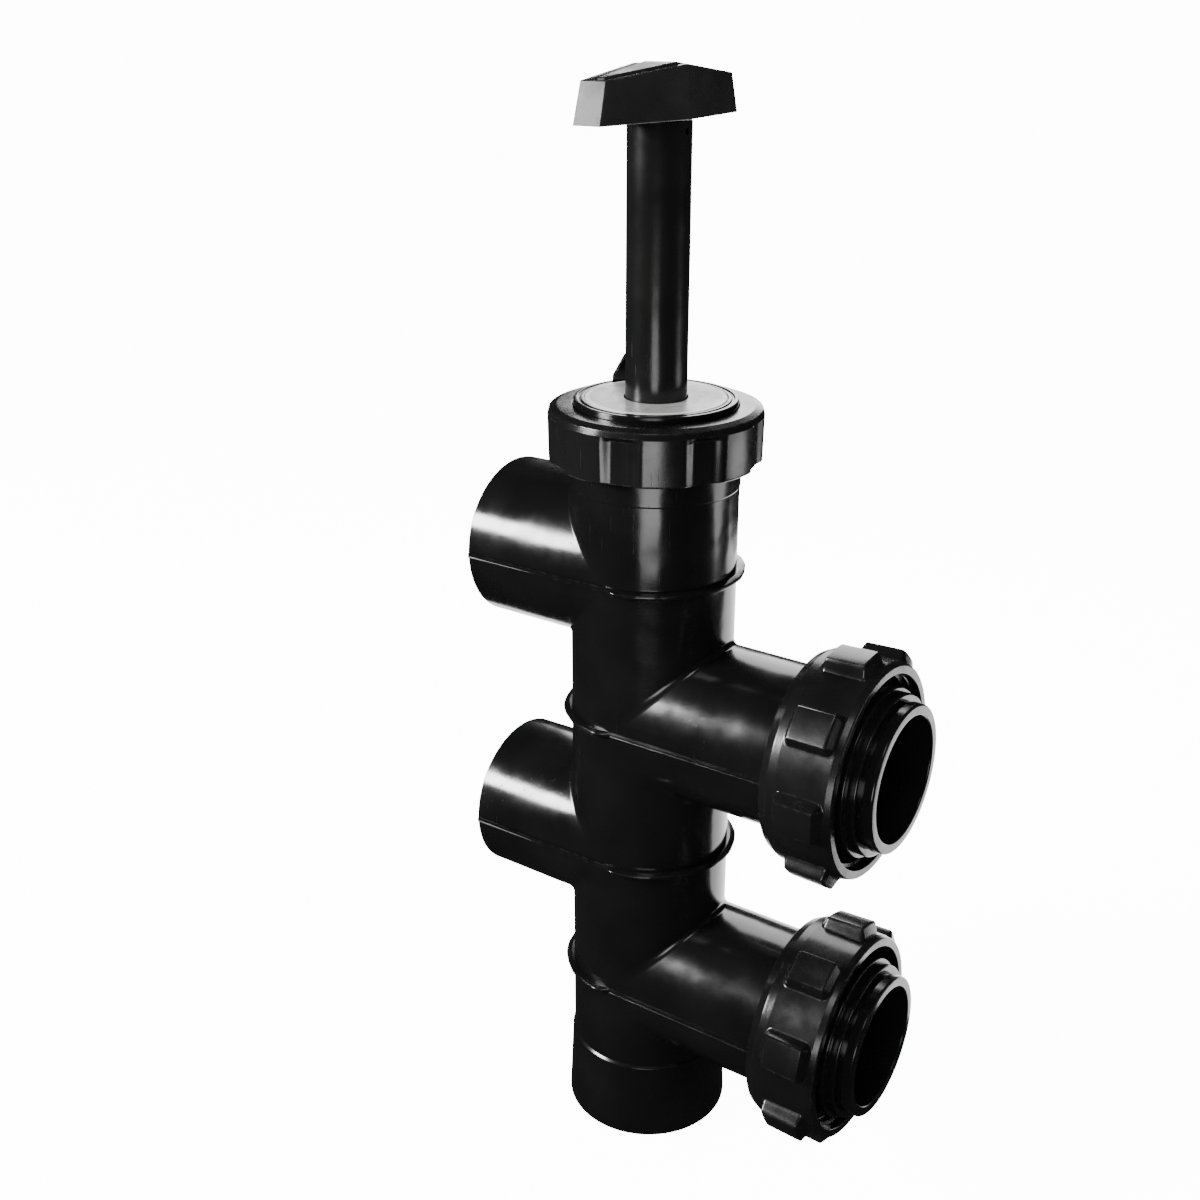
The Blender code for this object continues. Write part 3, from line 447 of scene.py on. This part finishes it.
# Shades a finished mesh, puts it on its body and hides the CAD nodes it stands for
def finishPiece(bm, name, body, material, nodes=(), place=None, sharp=35, faceOut=True):
    if place:
        bm.transform(place)
    if faceOut:
        bmesh.ops.recalc_face_normals(bm, faces=bm.faces)
    piece = makeObject(bm, name)
    piece.data.materials.append(material)
    piece.data.shade_smooth()
    piece.data.set_sharp_from_angle(angle=math.radians(sharp))
    even = piece.modifiers.new("evenShading", "WEIGHTED_NORMAL")
    even.keep_sharp = True
    even.weight = 60
    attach(piece, body)
    if nodes:
        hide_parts(*nodes)
    return piece


# Column: a turned pipe with four side pipes of the same radius, joined on 45 degree planes

columnSizes = dict(
    steps=128, radius=0.0409, rimRadius=0.0406, straight=0.044, bore=0.0366, throat=0.0300,
    socket=0.0367, socketDepth=0.0380, sleeveDepth=0.0323, sleeveSocket=0.0366,
    footRadius=0.0437, footTop=0.0419, footHeight=0.0445, ledge=0.0035, ledgeRadius=0.0330,
    neckRadius=0.0413, neckBase=0.0306, threadBase=0.0173, threadRoot=0.0443, threadCrest=0.0456,
    rim=0.0007, fillet=0.0026, creaseFrom=0.16, mouthEdge=0.0006,
)


def addSidePort(bm, height, side, reach):
    size = columnSizes
    planes = [Vector((side, 0, 1)).normalized(), Vector((side, 0, -1)).normalized()]
    near = [face for face in bm.faces if side * face.calc_center_median().x > 1e-5]
    centre = Vector((0, 0, height))
    for plane in planes:
        geom = {vert for face in near if face.is_valid for vert in face.verts}
        lines = {edge for face in near if face.is_valid for edge in face.edges}
        faces = [face for face in near if face.is_valid]
        cut = bmesh.ops.bisect_plane(
            bm, geom=list(geom) + list(lines) + faces, dist=1e-7, plane_co=centre, plane_no=plane
        )
        near = [item for item in cut["geom"] if isinstance(item, bmesh.types.BMFace)]
    inside = [
        face for face in bm.faces
        if side * face.calc_center_median().x > abs(face.calc_center_median().z - height) + 1e-7
        and abs(face.normal.z) < 0.5
    ]
    bmesh.ops.delete(bm, geom=inside, context="FACES")
    pipe = bmesh.new()
    outline = softOutline(
        [(0, reach), (size["rimRadius"], reach, size["rim"]), (size["radius"], size["straight"])]
    )
    spinOutline(pipe, outline + [Vector((size["radius"], 0))], size["steps"], closed=False)
    pipe.transform(Matrix.Translation(centre) @ Matrix.Rotation(side * math.pi / 2, 4, "Y"))
    for plane in planes:
        bmesh.ops.bisect_plane(
            pipe, geom=pipe.verts[:] + pipe.edges[:] + pipe.faces[:], dist=1e-7,
            plane_co=centre, plane_no=plane * -1, clear_outer=True,
        )
    addTo(bm, pipe)
    bmesh.ops.remove_doubles(bm, verts=bm.verts, dist=2e-6)


def roundCrease(bm, height, side):
    size = columnSizes
    least = size["radius"] * size["creaseFrom"]
    crease = []
    for edge in bm.edges:
        away = [side * vert.co.x for vert in edge.verts]
        off = [abs(abs(vert.co.z - height) - side * vert.co.x) for vert in edge.verts]
        if max(off) < 1e-5 and min(away) > least:
            crease.append(edge)
    bevelEdges(bm, crease, size["fillet"], 4)


def makeColumn():
    size = columnSizes
    top = columnTop
    outline = softOutline([
        (0, top),
        (size["threadRoot"], top, 0.0008),
        (size["threadRoot"], top - size["threadBase"]),
        (size["neckRadius"], top - size["threadBase"] - 0.0006, 0.0006),
        (size["neckRadius"], top - size["neckBase"], 0.0004),
        (size["radius"], top - size["neckBase"] - 0.0008),
        (size["radius"], size["footHeight"]),
        (size["footTop"], size["footHeight"] - 0.0012, 0.0007),
        (size["footRadius"], 0, 0.0009),
        (0, 0),
    ])
    bm = bmesh.new()
    spinOutline(bm, outline, size["steps"], closed=False)
    for height, side, reach in ports:
        addSidePort(bm, height, side, reach)
    for height, side, reach in ports:
        roundCrease(bm, height, side)
    bmesh.ops.recalc_face_normals(bm, faces=bm.faces)
    past = 0.01
    ledgeTop = size["socketDepth"] + size["ledge"]
    cutters = [
        cylinder(size["bore"], ledgeTop, top + past),
        cylinder(size["ledgeRadius"], size["socketDepth"] - past, ledgeTop + past),
        cylinder(size["socket"], -past, size["socketDepth"]),
    ]
    for height, side, reach in ports:
        deep = size["socketDepth"] if side < 0 else size["sleeveDepth"]
        wide = size["socket"] if side < 0 else size["sleeveSocket"]
        turn = Matrix.Translation((0, 0, height)) @ Matrix.Rotation(side * math.pi / 2, 4, "Y")
        cutters.append(cylinder(size["throat"], 0, reach + past, place=turn))
        cutters.append(cylinder(wide, reach - deep, reach + past, place=turn))
    bm = carve(bm, cutters)
    rims = []
    for edge in bm.edges:
        ends = [vert.co for vert in edge.verts]
        flush = [
            all(abs(end.x + leftReach) < 1e-5 for end in ends),
            all(abs(end.z) < 1e-6 for end in ends),
        ]
        if any(flush) and len(edge.link_faces) == 2 and edge.calc_face_angle(0) > 1.2:
            rims.append(edge)
    bevelEdges(bm, rims, size["mouthEdge"], 2)
    threadStart = top - size["threadBase"] + 0.0006
    addThread(bm, size["threadRoot"], size["threadCrest"], threadStart, top - 0.0008)
    nodes = [f"body_{part}_section" for part in ("top", "upper", "middle", "lower", "foot")]
    finishPiece(
        bm, "weldedColumn", "valve_body", plastics["bodyPlastic"], nodes, upright,
        faceOut=False,
    )


# Weld beads: plastic squeezed out in a soft ring round the column, and a thin seam along each port
beadSizes = dict(
    height=0.0016, proud=0.0042, sunk=0.0008, taper=14, seamProud=0.0009, seamHalf=0.0008, seamDeep=0.0016,
    seamEdge=0.0006, seamShort=0.0012,
)


def makeBeads():
    size = beadSizes
    radius = columnSizes["radius"]
    bm = bmesh.new()
    for height, side, reach in ports:
        ring = bmesh.new()
        outline = softOutline([
            (radius - size["sunk"], -size["height"]),
            (radius + size["proud"] * 0.35, -size["height"], 0.0006),
            (radius + size["proud"], -size["height"] * 0.55, 0.0008),
            (radius + size["proud"], size["height"] * 0.55, 0.0008),
            (radius + size["proud"] * 0.35, size["height"], 0.0006),
            (radius - size["sunk"], size["height"]),
        ])
        spinOutline(ring, outline, 160)
        for vert in ring.verts:
            angle = abs(math.degrees(math.atan2(vert.co.y, side * vert.co.x)))
            lift = ease((angle - (90 - size["taper"] / 2)) / size["taper"])
            wobble = 1 + 0.03 * math.sin(angle * 0.21 + height * 90) + 0.015 * math.sin(angle * 0.53)
            far = math.hypot(vert.co.x, vert.co.y)
            keep = radius - size["sunk"] + (far - radius + size["sunk"]) * lift * wobble
            vert.co.x *= keep / far
            vert.co.y *= keep / far
            vert.co.z += height
        hidden = [vert for vert in ring.verts if side * vert.co.x > radius * 0.35]
        bmesh.ops.delete(ring, geom=hidden, context="VERTS")
        openEdges = [edge for edge in ring.edges if edge.is_boundary]
        bmesh.ops.holes_fill(ring, edges=openEdges, sides=0)
        addTo(bm, ring)
        for away in (-1, 1):
            start = radius * 0.05
            end = reach - size["seamShort"]
            proud = columnSizes["rimRadius"] + size["seamProud"]
            cube = bmesh.ops.create_cube(bm, size=1)["verts"]
            for vert in cube:
                along = end if vert.co.x > 0 else start
                out = proud if vert.co.y > 0 else proud - size["seamDeep"]
                vert.co = Vector((side * along, away * out, height + vert.co.z * 2 * size["seamHalf"]))
            top = [
                edge for edge in {edge for vert in cube for edge in vert.link_edges}
                if all(abs(abs(vert.co.y) - proud) < 1e-6 for vert in edge.verts)
            ]
            bevelEdges(bm, top, size["seamEdge"], 3)
    finishPiece(bm, "weldBeads", "valve_body", plastics["bodyPlastic"], (), upright)


# Grip pads round a nut. The nut is spun with the pads' outline, then drawn in between them to the
# ring's radius. A pad has sloped flanks and rounded corners. More of the spun lines go to the flanks.
def pressPads(bm, size, ringRadius, firstAngle):
    pitch = 2 * math.pi / size["pads"]
    top = (1 - size["padShare"]) / 2
    foot = top - size["flank"]
    knots = [(0, 0), (0.25, foot - 0.02), (0.78, top + 0.03), (1, 0.5)]

    def spread(share):
        for (low, lowTo), (high, highTo) in zip(knots, knots[1:]):
            if share <= high:
                return lowTo + (highTo - lowTo) * (share - low) / (high - low)
        return 0.5

    for vert in bm.verts:
        far = math.hypot(vert.co.x, vert.co.y)
        turn = math.atan2(vert.co.y, vert.co.x) / pitch
        share = turn - round(turn)
        share = math.copysign(spread(abs(share) * 2), share)
        angle = firstAngle + (round(turn) + share) * pitch
        if far > size["wallFrom"]:
            ends = min(abs(vert.co.z - end) for end in size["padEnds"])
            inset = max(0.0, 1 - ends / size["corner"])
            narrow = size["corner"] * (1 - math.sqrt(1 - inset * inset)) / far / pitch
            across = ease((abs(share) - foot - narrow) / size["flank"])
            ring = min(far, ringRadius(vert.co.z))
            far = ring + (far - ring) * across
        vert.co.x = far * math.cos(angle)
        vert.co.y = far * math.sin(angle)


# Points along a wall, so that it has lines to bend on
def wallPoints(start, end, spacing):
    count = max(2, int((Vector(end) - Vector(start)).length / spacing))
    return [tuple(Vector(start).lerp(Vector(end), step / count)) for step in range(1, count)]


unionNutSizes = dict(
    ring=0.0528, ringBack=0.0502, bevelEnd=0.0048, taper=0.0008, pad=0.0590, padFlare=0.0006,
    padStart=0.0093, padSlope=0.0026, padEnd=0.0338, bore=0.0473, crest=0.0459, lip=0.0067,
    collar=0.0409, pads=8, padShare=0.33, flank=0.085, wallFrom=0.0512, corner=0.0030, steps=320,
)


def makeUnionNut(side, firstAngle):
    size = dict(unionNutSizes)
    start = nutStart + size["padStart"]
    end = nutStart + size["padEnd"]
    size["padEnds"] = (start, end)
    lipEnd = nutStart + size["lip"]
    slope = size["padSlope"]
    step = (size["ring"] - 0.0002, nutStart + size["bevelEnd"])
    low = (size["pad"] - size["padFlare"], start + slope)
    high = (size["pad"], end - slope)
    corners = [
        (size["collar"], lipEnd),
        (size["collar"], nutStart, 0.0005),
        (size["ringBack"], nutStart, 0.0008),
        (*step, 0.0012),
        (size["ring"], start - 0.0004, 0.0010),
        *wallPoints((size["ring"], start), low, 0.0005)[1:-2],
        (*low, 0.0013),
        *wallPoints(low, high, 0.0012)[2:-2],
        (*high, 0.0013),
        *wallPoints(high, (size["ring"], end), 0.0005)[2:-1],
        (size["ring"], end + 0.0004, 0.0010),
        (size["ring"] - size["taper"], nutEnd, 0.0010),
        (size["bore"] + 0.0004, nutEnd, 0.0004),
        (size["bore"], nutEnd - 0.0024),
        (size["bore"], lipEnd),
    ]
    bm = bmesh.new()
    spinOutline(bm, softOutline(corners), size["steps"])
    pressPads(bm, size, lambda height: size["ring"], firstAngle)
    addThread(bm, size["bore"], size["crest"], lipEnd + 0.0045, nutEnd - 0.0026, phase=0.5)
    finishPiece(
        bm, f"{side}UnionNut", f"{side}_nut", plastics["nutPlastic"],
        [f"{side}_union_nut"], outward[side],
    )


tailSizes = dict(
    radius=0.03625, bore=0.0306, stop=0.0275, stopLength=0.0022, threadLength=0.0160,
    threadRoot=0.0457, threadCrest=0.0469, shoulder=0.0415, shoulderEnd=0.0267, collar=0.0395,
    collarEnd=0.0317, groove=0.0350, grooveLength=0.0020,
)


def makeTail(side):
    size = tailSizes
    end = tailEnd
    start = tailStart
    corners = [
        (size["bore"] + 0.0002, end, 0.0008),
        (size["radius"], end, 0.0011),
        (size["radius"], start + size["collarEnd"] + size["grooveLength"], 0.0004),
        (size["groove"], start + size["collarEnd"] + size["grooveLength"] - 0.0004),
        (size["groove"], start + size["collarEnd"]),
        (size["collar"], start + size["collarEnd"], 0.0009),
        (size["collar"], start + size["shoulderEnd"]),
        (size["shoulder"], start + size["shoulderEnd"], 0.0008),
        (size["shoulder"], start + size["threadLength"]),
        (size["threadRoot"], start + size["threadLength"], 0.0008),
        (size["threadRoot"], start, 0.0005),
        (size["stop"], start, 0.0006),
        (size["stop"], start + size["stopLength"], 0.0005),
        (size["bore"], start + size["stopLength"]),
    ]
    bm = bmesh.new()
    spinOutline(bm, softOutline(corners), 128)
    threadEnd = start + size["threadLength"] - 0.0006
    addThread(bm, size["threadRoot"], size["threadCrest"], start + 0.0004, threadEnd)
    finishPiece(
        bm, f"{side}UnionTail", f"{side}_tail", plastics["bodyPlastic"],
        [f"{side}_union_tail"], outward[side],
    )


sleeveSizes = dict(flange=0.0455, flangeStart=0.0090, flangeEnd=0.0130, spigot=0.0363, spigotLength=0.0320)


def makeSleeve(side):
    size = sleeveSizes
    base = rightReach
    rim = columnSizes["rimRadius"]
    corners = [
        (columnSizes["throat"], base + size["flangeEnd"], 0.0006),
        (size["flange"], base + size["flangeEnd"], 0.0006),
        (size["flange"], base + size["flangeStart"], 0.0006),
        (rim, base + size["flangeStart"]),
        (rim, base + seatGap, 0.0005),
        (size["spigot"], base + seatGap),
        (size["spigot"], base - size["spigotLength"], 0.0008),
        (columnSizes["throat"], base - size["spigotLength"], 0.0008),
    ]
    bm = bmesh.new()
    spinOutline(bm, softOutline(corners), 96)
    finishPiece(
        bm, f"{side}UnionSleeve", "valve_body", plastics["bodyPlastic"],
        [f"{side}_union_sleeve"], outward[side],
    )


# Bonnet, its label, its lug and the nut that holds it down
bonnetSizes = dict(
    flange=0.0448, flangeHeight=0.0036, radius=0.0392, rise=0.0072, plug=0.0363, plugDepth=0.0166,
    bore=0.0150, label=0.0340, recess=0.0010, lipWidth=0.0016, ringGroove=0.0029, ringHalf=0.0016,
)


def makeBonnet():
    size = bonnetSizes
    flangeBottom = columnTop + seatGap
    flangeTop = flangeBottom + size["flangeHeight"]
    top = flangeTop + size["rise"]
    plugBottom = columnTop - size["plugDepth"]
    ringZ = columnTop - size["plugDepth"] / 2
    corners = [
        (size["radius"], top, 0.0007),
        (size["radius"], flangeTop),
        (size["flange"], flangeTop, 0.0004),
        (size["flange"], flangeBottom, 0.0004),
        (size["plug"], flangeBottom),
        (size["plug"], ringZ + size["ringHalf"]),
        (size["plug"] - size["ringGroove"], ringZ + size["ringHalf"]),
        (size["plug"] - size["ringGroove"], ringZ - size["ringHalf"]),
        (size["plug"], ringZ - size["ringHalf"]),
        (size["plug"], plugBottom, 0.0008),
        (size["bore"], plugBottom, 0.0006),
        (size["bore"], top - size["recess"], 0.0004),
        (size["label"], top - size["recess"]),
        (size["label"] + 0.0002, top, 0.0004),
        (size["label"] + size["lipWidth"], top, 0.0003),
        (size["label"] + size["lipWidth"] + 0.0005, top - 0.0006, 0.0003),
        (size["label"] + size["lipWidth"] + 0.0013, top - 0.0006, 0.0003),
        (size["label"] + size["lipWidth"] + 0.0018, top, 0.0003),
    ]
    bm = bmesh.new()
    spinOutline(bm, softOutline(corners), 128)
    addLug(bm, top)
    finishPiece(bm, "bonnetShell", "bonnet", plastics["bodyPlastic"], ["bonnet"], upright)

    disc = bmesh.new()
    labelBottom = bonnetTop - 0.0009
    spinOutline(disc, softOutline([
        (size["label"] - seatGap, bonnetTop, 0.0002),
        (size["label"] - seatGap, labelBottom),
        (size["bore"] + seatGap, labelBottom),
        (size["bore"] + seatGap, bonnetTop, 0.0002),
    ], 2), 128)
    finishPiece(disc, "blankLabel", "bonnet", labelPrint, ["label_disc"], upright)


lugSizes = dict(
    angle=138, radius=0.0366, length=0.0240, topLength=0.0110, height=0.0136, thick=0.0032, edge=0.0006,
    hole=0.0024, holeHeight=0.0086,
)


def addLug(bm, base):
    size = lugSizes
    lug = bmesh.new()
    half = size["length"] / 2
    topHalf = size["topLength"] / 2
    outline = softOutline([
        (half, -0.0008), (half, 0.0022, 0.001), (topHalf, size["height"], 0.0035),
        (-topHalf, size["height"], 0.0035), (-half, 0.0022, 0.001), (-half, -0.0008),
    ], 5)
    verts = [lug.verts.new((x, -size["thick"] / 2, z)) for x, z in outline]
    face = lug.faces.new(verts)
    made = bmesh.ops.extrude_face_region(lug, geom=[face])["geom"]
    moved = [item for item in made if isinstance(item, bmesh.types.BMVert)]
    bmesh.ops.translate(lug, verts=moved, vec=(0, size["thick"], 0))
    bmesh.ops.recalc_face_normals(lug, faces=lug.faces)
    rims = [
        edge for edge in lug.edges
        if edge.calc_face_angle(0) > 1.2 and min(vert.co.z for vert in edge.verts) > 0
    ]
    bevelEdges(lug, rims, size["edge"], 3)
    across = Matrix.Translation((0, 0, size["holeHeight"])) @ Matrix.Rotation(math.pi / 2, 4, "X")
    lug = carve(lug, [cylinder(size["hole"], -0.01, 0.01, 32, across)])
    angle = math.radians(size["angle"])
    rim = size["radius"]
    stand = Matrix.Translation((rim * math.cos(angle), rim * math.sin(angle), base))
    lug.transform(stand @ Matrix.Rotation(angle + math.pi / 2, 4, "Z"))
    addTo(bm, lug)


capNutSizes = dict(
    radius=0.0516, ring=0.0486, shoulder=0.0008, drop=0.0014, bevel=0.0044, taper=0.0004, bore=0.0460,
    crest=0.0447, lipBore=0.0395, pads=8, padShare=0.46, flank=0.16, wallFrom=0.0478, corner=0.0026,
    rimHeight=0.0040, ramp=0.0012, firstAngle=-31, steps=320,
)


def makeCapNut():
    size = dict(capNutSizes)
    top = capZ["top"]
    bottom = capZ["bottom"]
    padTop = top - size["rimHeight"]
    size["padEnds"] = (padTop, top + 1)
    lipBottom = columnTop + seatGap + bonnetSizes["flangeHeight"] + seatGap
    wallTop = (size["radius"], top - size["bevel"])
    wallLow = (size["radius"] - size["taper"], bottom)

    def ringRadius(height):
        rim = ease((height - padTop + size["ramp"]) / size["ramp"])
        return size["ring"] + (size["radius"] - size["ring"]) * rim

    corners = [
        (size["lipBore"], lipBottom),
        (size["bore"], lipBottom),
        (size["bore"], bottom + 0.0010),
        (size["bore"] + 0.0004, bottom, 0.0003),
        (*wallLow, 0.0009),
        *wallPoints(wallLow, wallTop, 0.0005)[2:-3],
        (*wallTop, 0.0012),
        (size["radius"] - size["shoulder"], top - size["drop"], 0.0007),
        (size["radius"] - size["bevel"], top, 0.0006),
        (size["lipBore"], top, 0.0006),
    ]
    bm = bmesh.new()
    spinOutline(bm, softOutline(corners), size["steps"])
    pressPads(bm, size, ringRadius, math.radians(size["firstAngle"]))
    addThread(bm, size["bore"], size["crest"], bottom + 0.0016, lipBottom - 0.0036, phase=0.5)
    finishPiece(bm, "capNut", "cap_nut", plastics["nutPlastic"], ["cap_nut"], upright)


# Shaft and handle
shaftSizes = dict(
    radius=0.0147, rod=0.0090, spigot=0.0095, lockHole=0.0018, lockDown=0.0046, shoulder=0.0003,
)


def makeShaft():
    size = shaftSizes
    low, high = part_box("shaft")
    seat = handleLow.z - seatGap
    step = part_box("upper_piston")[1].z + size["shoulder"]
    corners = [
        (0, high.z),
        (size["spigot"], high.z, 0.0006),
        (size["spigot"], seat),
        (size["radius"], seat, 0.0007),
        (size["radius"], step, 0.0008),
        (size["rod"], step),
        (size["rod"], low.z, 0.0008),
        (0, low.z),
    ]
    bm = bmesh.new()
    spinOutline(bm, softOutline(corners), 96, closed=False)
    turn = Matrix.Translation((0, 0, seat - size["lockDown"])) @ Matrix.Rotation(math.pi / 2, 4, "Y")
    bm = carve(bm, [cylinder(size["lockHole"], -0.03, 0.03, 32, turn)])
    finishPiece(
        bm, "pushShaft", "stem", plastics["shaftPlastic"], ["shaft"], upright,
        faceOut=False,
    )


handleSizes = dict(
    foot=0.0562, top=0.0512, midFoot=0.0154, midTop=0.0145, endFoot=0.0071, endTop=0.0066,
    endHeight=0.0178, midHeight=0.0230, edge=0.000495, panelInset=0.0030,
    groove=0.0014, grooveSlope=0.0007, grooveFloor=0.0012, panel=0.0021, panelSlope=0.0009,
)


# A bar along Y, widest and tallest at its middle, given as half widths, half lengths and heights
def barBlock(midWidths, endWidths, lengths, heights, base):
    bm = bmesh.new()
    bmesh.ops.create_cube(bm, size=2)
    bmesh.ops.bisect_plane(
        bm, geom=bm.verts[:] + bm.edges[:] + bm.faces[:], plane_co=(0, 0, 0), plane_no=(0, 1, 0)
    )
    for vert in bm.verts:
        top = 1 if vert.co.z > 0 else 0
        atMiddle = abs(vert.co.y) < 0.5
        width = (midWidths if atMiddle else endWidths)[top]
        lift = (heights[1] if atMiddle else heights[0]) if top else 0
        vert.co = Vector((vert.co.x * width, vert.co.y * lengths[top], base + lift))
    return bm


def makeHandle():
    size = handleSizes
    base = handleLow.z
    bm = barBlock(
        (size["midFoot"], size["midTop"]), (size["endFoot"], size["endTop"]),
        (size["foot"], size["top"]), (size["endHeight"], size["midHeight"]), base,
    )
    tops = [face for face in bm.faces if face.normal.z > 0.5]
    insets = [
        (size["panelInset"], 0), (size["grooveSlope"], -size["groove"]), (size["grooveFloor"], 0),
        (size["panelSlope"], size["panel"]),
    ]
    for thickness, depth in insets:
        bmesh.ops.inset_region(bm, faces=tops, thickness=thickness, depth=depth, use_even_offset=True)
    corners = [edge for edge in bm.edges if edge.calc_face_angle(0) > 0.25]
    bevelEdges(bm, corners, size["edge"], 3)
    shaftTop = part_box("shaft")[1].z
    bm = carve(bm, [cylinder(shaftSizes["spigot"] + seatGap, base - 0.01, shaftTop + seatGap, 64)])
    finishPiece(
        bm, "barHandle", "stem", plastics["handlePlastic"],
        ["handle", "handle_cap", "handle_screw"], upright, faceOut=False, sharp=28,
    )


makeColumn()
print("column made")
makeBeads()
print("weld beads made")
for side, firstAngle in (("upper", math.radians(207)), ("lower", math.radians(186))):
    makeUnionNut(side, firstAngle)
    makeTail(side)
    makeSleeve(side)
print("unions made")
makeBonnet()
makeCapNut()
print("bonnet and its nut made")
makeShaft()
makeHandle()
print("shaft and handle made")

innerFinishes = {"oring": plastics["sealRubber"], "piston": plastics["pistonPlastic"], "end_": turnedSteel}
for name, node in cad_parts.items():
    for word, material in innerFinishes.items():
        if word in name:
            node.data.materials.clear()
            node.data.materials.append(material)
            break
print("inner pieces finished")


# Studio: a white floor, soft boxes, and low cards that show only in the gloss

def glowing(name, strength, paint=0.9):
    material, _, shader = newMaterial(name)
    shader.inputs["Base Color"].default_value = (paint, paint, paint, 1)
    shader.inputs["Roughness"].default_value = 0.9
    shader.inputs["Specular IOR Level"].default_value = 0.0
    shader.inputs["Emission Color"].default_value = (1, 1, 1, 1)
    shader.inputs["Emission Strength"].default_value = strength
    return material


def makeFloor():
    bm = bmesh.new()
    bmesh.ops.create_grid(bm, x_segments=2, y_segments=2, size=6)
    floor = makeObject(bm, "studioFloor")
    floor.location.z = -0.0004  # just under the part
    floor.visible_glossy = False
    floor.visible_diffuse = False
    floor.data.materials.append(glowing("whitePaper", 13.0))


# A card that only the gloss sees
def standInGloss(name, points, material):
    bm = bmesh.new()
    bm.faces.new([bm.verts.new(point) for point in points])
    card = makeObject(bm, name)
    card.visible_camera = False
    card.visible_diffuse = False
    card.visible_shadow = False
    card.data.materials.append(material)


# A pale card lies on the floor: its corners on the plan
cardHeight = 0.0006
lowCards = {
    "edgeCard": dict(
        corners=[(-0.40, 0.14), (0.18, 0.14), (0.40, 0.55), (0.40, 0.92), (-0.40, 0.92)], glow=2.2,
    ),
    "handleCard": dict(corners=[(0.72, 0.50), (1.5, 0.50), (1.5, 1.05), (0.72, 1.05)], glow=3.2),
}


def makeCards():
    for name, card in lowCards.items():
        points = [(x, y, cardHeight) for x, y in card["corners"]]
        standInGloss(name, points, glowing(name + "Glow", card["glow"]))


# A dark flag stands between a big light and the handle: its two sides on the plan, and its heights
darkFlags = {
    "endFlag": dict(corners=[(-0.27, -0.16), (-0.06, -0.27)], low=0.53, high=0.66),
    "topFlag": dict(corners=[(-0.42, 0.20), (-0.04, 0.24)], low=0.60, high=0.98),
}


def makeFlags():
    for name, flag in darkFlags.items():
        (x0, y0), (x1, y1) = flag["corners"]
        low, high = flag["low"], flag["high"]
        points = [(x0, y0, low), (x1, y1, low), (x1, y1, high), (x0, y0, high)]
        standInGloss(name, points, glowing(name + "Cloth", 0.04, paint=0))


# Soft boxes: place, aim, size and glow, which is the radiance of the lit face
softBoxes = {
    "leftBox": dict(place=(-1.09, -1.20, 0.93), aim=(-0.10, 0, 0.30), size=(0.44, 0.40), glow=110),
    "frontBox": dict(place=(0.22, -0.49, 0.235), aim=(-0.027, 0, 0.45), size=(0.22, 0.17), glow=7),
    "backBox": dict(place=(-0.36, 0.70, 0.64), aim=(0.02, 0, 0.30), size=(0.34, 0.56), glow=6),
    "fillBox": dict(place=(0.4, -0.9, 1.9), aim=(0, 0, 0.3), size=(0.5, 0.5), glow=6),
}


def makeSoftBox(name, box):
    light = bpy.data.lights.new(name, "AREA")
    light.shape = "RECTANGLE"
    light.size, light.size_y = box["size"]
    light.energy = box["glow"] * math.pi * light.size * light.size_y
    obj = bpy.data.objects.new(name, light)
    bpy.context.scene.collection.objects.link(obj)
    obj.location = box["place"]
    obj.rotation_euler = (Vector(box["aim"]) - obj.location).to_track_quat("-Z", "Y").to_euler()
    obj.visible_camera = False


def makeStudio():
    makeFloor()
    makeCards()
    makeFlags()
    for name, box in softBoxes.items():
        makeSoftBox(name, box)
    world = bpy.data.worlds.new("studio")
    bpy.context.scene.world = world
    world.use_nodes = True
    tree = world.node_tree
    tree.nodes.clear()
    path = tree.nodes.new("ShaderNodeLightPath")
    strengths = {"lit": 0.9, "mirrored": 0.02, "seen": 14.0}
    glow = {}
    for name, strength in strengths.items():
        glow[name] = addNode(tree, "ShaderNodeBackground", Strength=strength)
        glow[name].inputs["Color"].default_value = (1, 1, 1, 1)
    gloss = tree.nodes.new("ShaderNodeMixShader")
    tree.links.new(path.outputs["Is Glossy Ray"], gloss.inputs[0])
    tree.links.new(glow["lit"].outputs[0], gloss.inputs[1])
    tree.links.new(glow["mirrored"].outputs[0], gloss.inputs[2])
    direct = tree.nodes.new("ShaderNodeMixShader")
    tree.links.new(path.outputs["Is Camera Ray"], direct.inputs[0])
    tree.links.new(gloss.outputs[0], direct.inputs[1])
    tree.links.new(glow["seen"].outputs[0], direct.inputs[2])
    out = tree.nodes.new("ShaderNodeOutputWorld")
    tree.links.new(direct.outputs[0], out.inputs[0])


# The camera's place from the shaft's axis, and its turns in degrees
cameraSizes = dict(offset=(0.36543, -0.57084, 0.57434), yaw=-34.879, pitch=22.086, roll=-0.073, lens=43.89)


def makeCamera():
    size = cameraSizes
    data = bpy.data.cameras.new("viewCamera")
    data.lens = size["lens"]
    data.sensor_width = 36
    data.clip_start = 0.01
    camera = bpy.data.objects.new("viewCamera", data)
    bpy.context.scene.collection.objects.link(camera)
    yaw = math.radians(size["yaw"])
    pitch = math.radians(size["pitch"])
    level = math.cos(pitch)
    forward = Vector((math.sin(yaw) * level, math.cos(yaw) * level, -math.sin(pitch)))
    camera.location = Vector(size["offset"]) + Vector((axisX, 0, 0))
    roll = Matrix.Rotation(math.radians(size["roll"]), 3, "Z").to_quaternion()
    camera.rotation_euler = (forward.to_track_quat("-Z", "Y") @ roll).to_euler()
    bpy.context.scene.camera = camera


makeStudio()
makeCamera()
print("studio made")
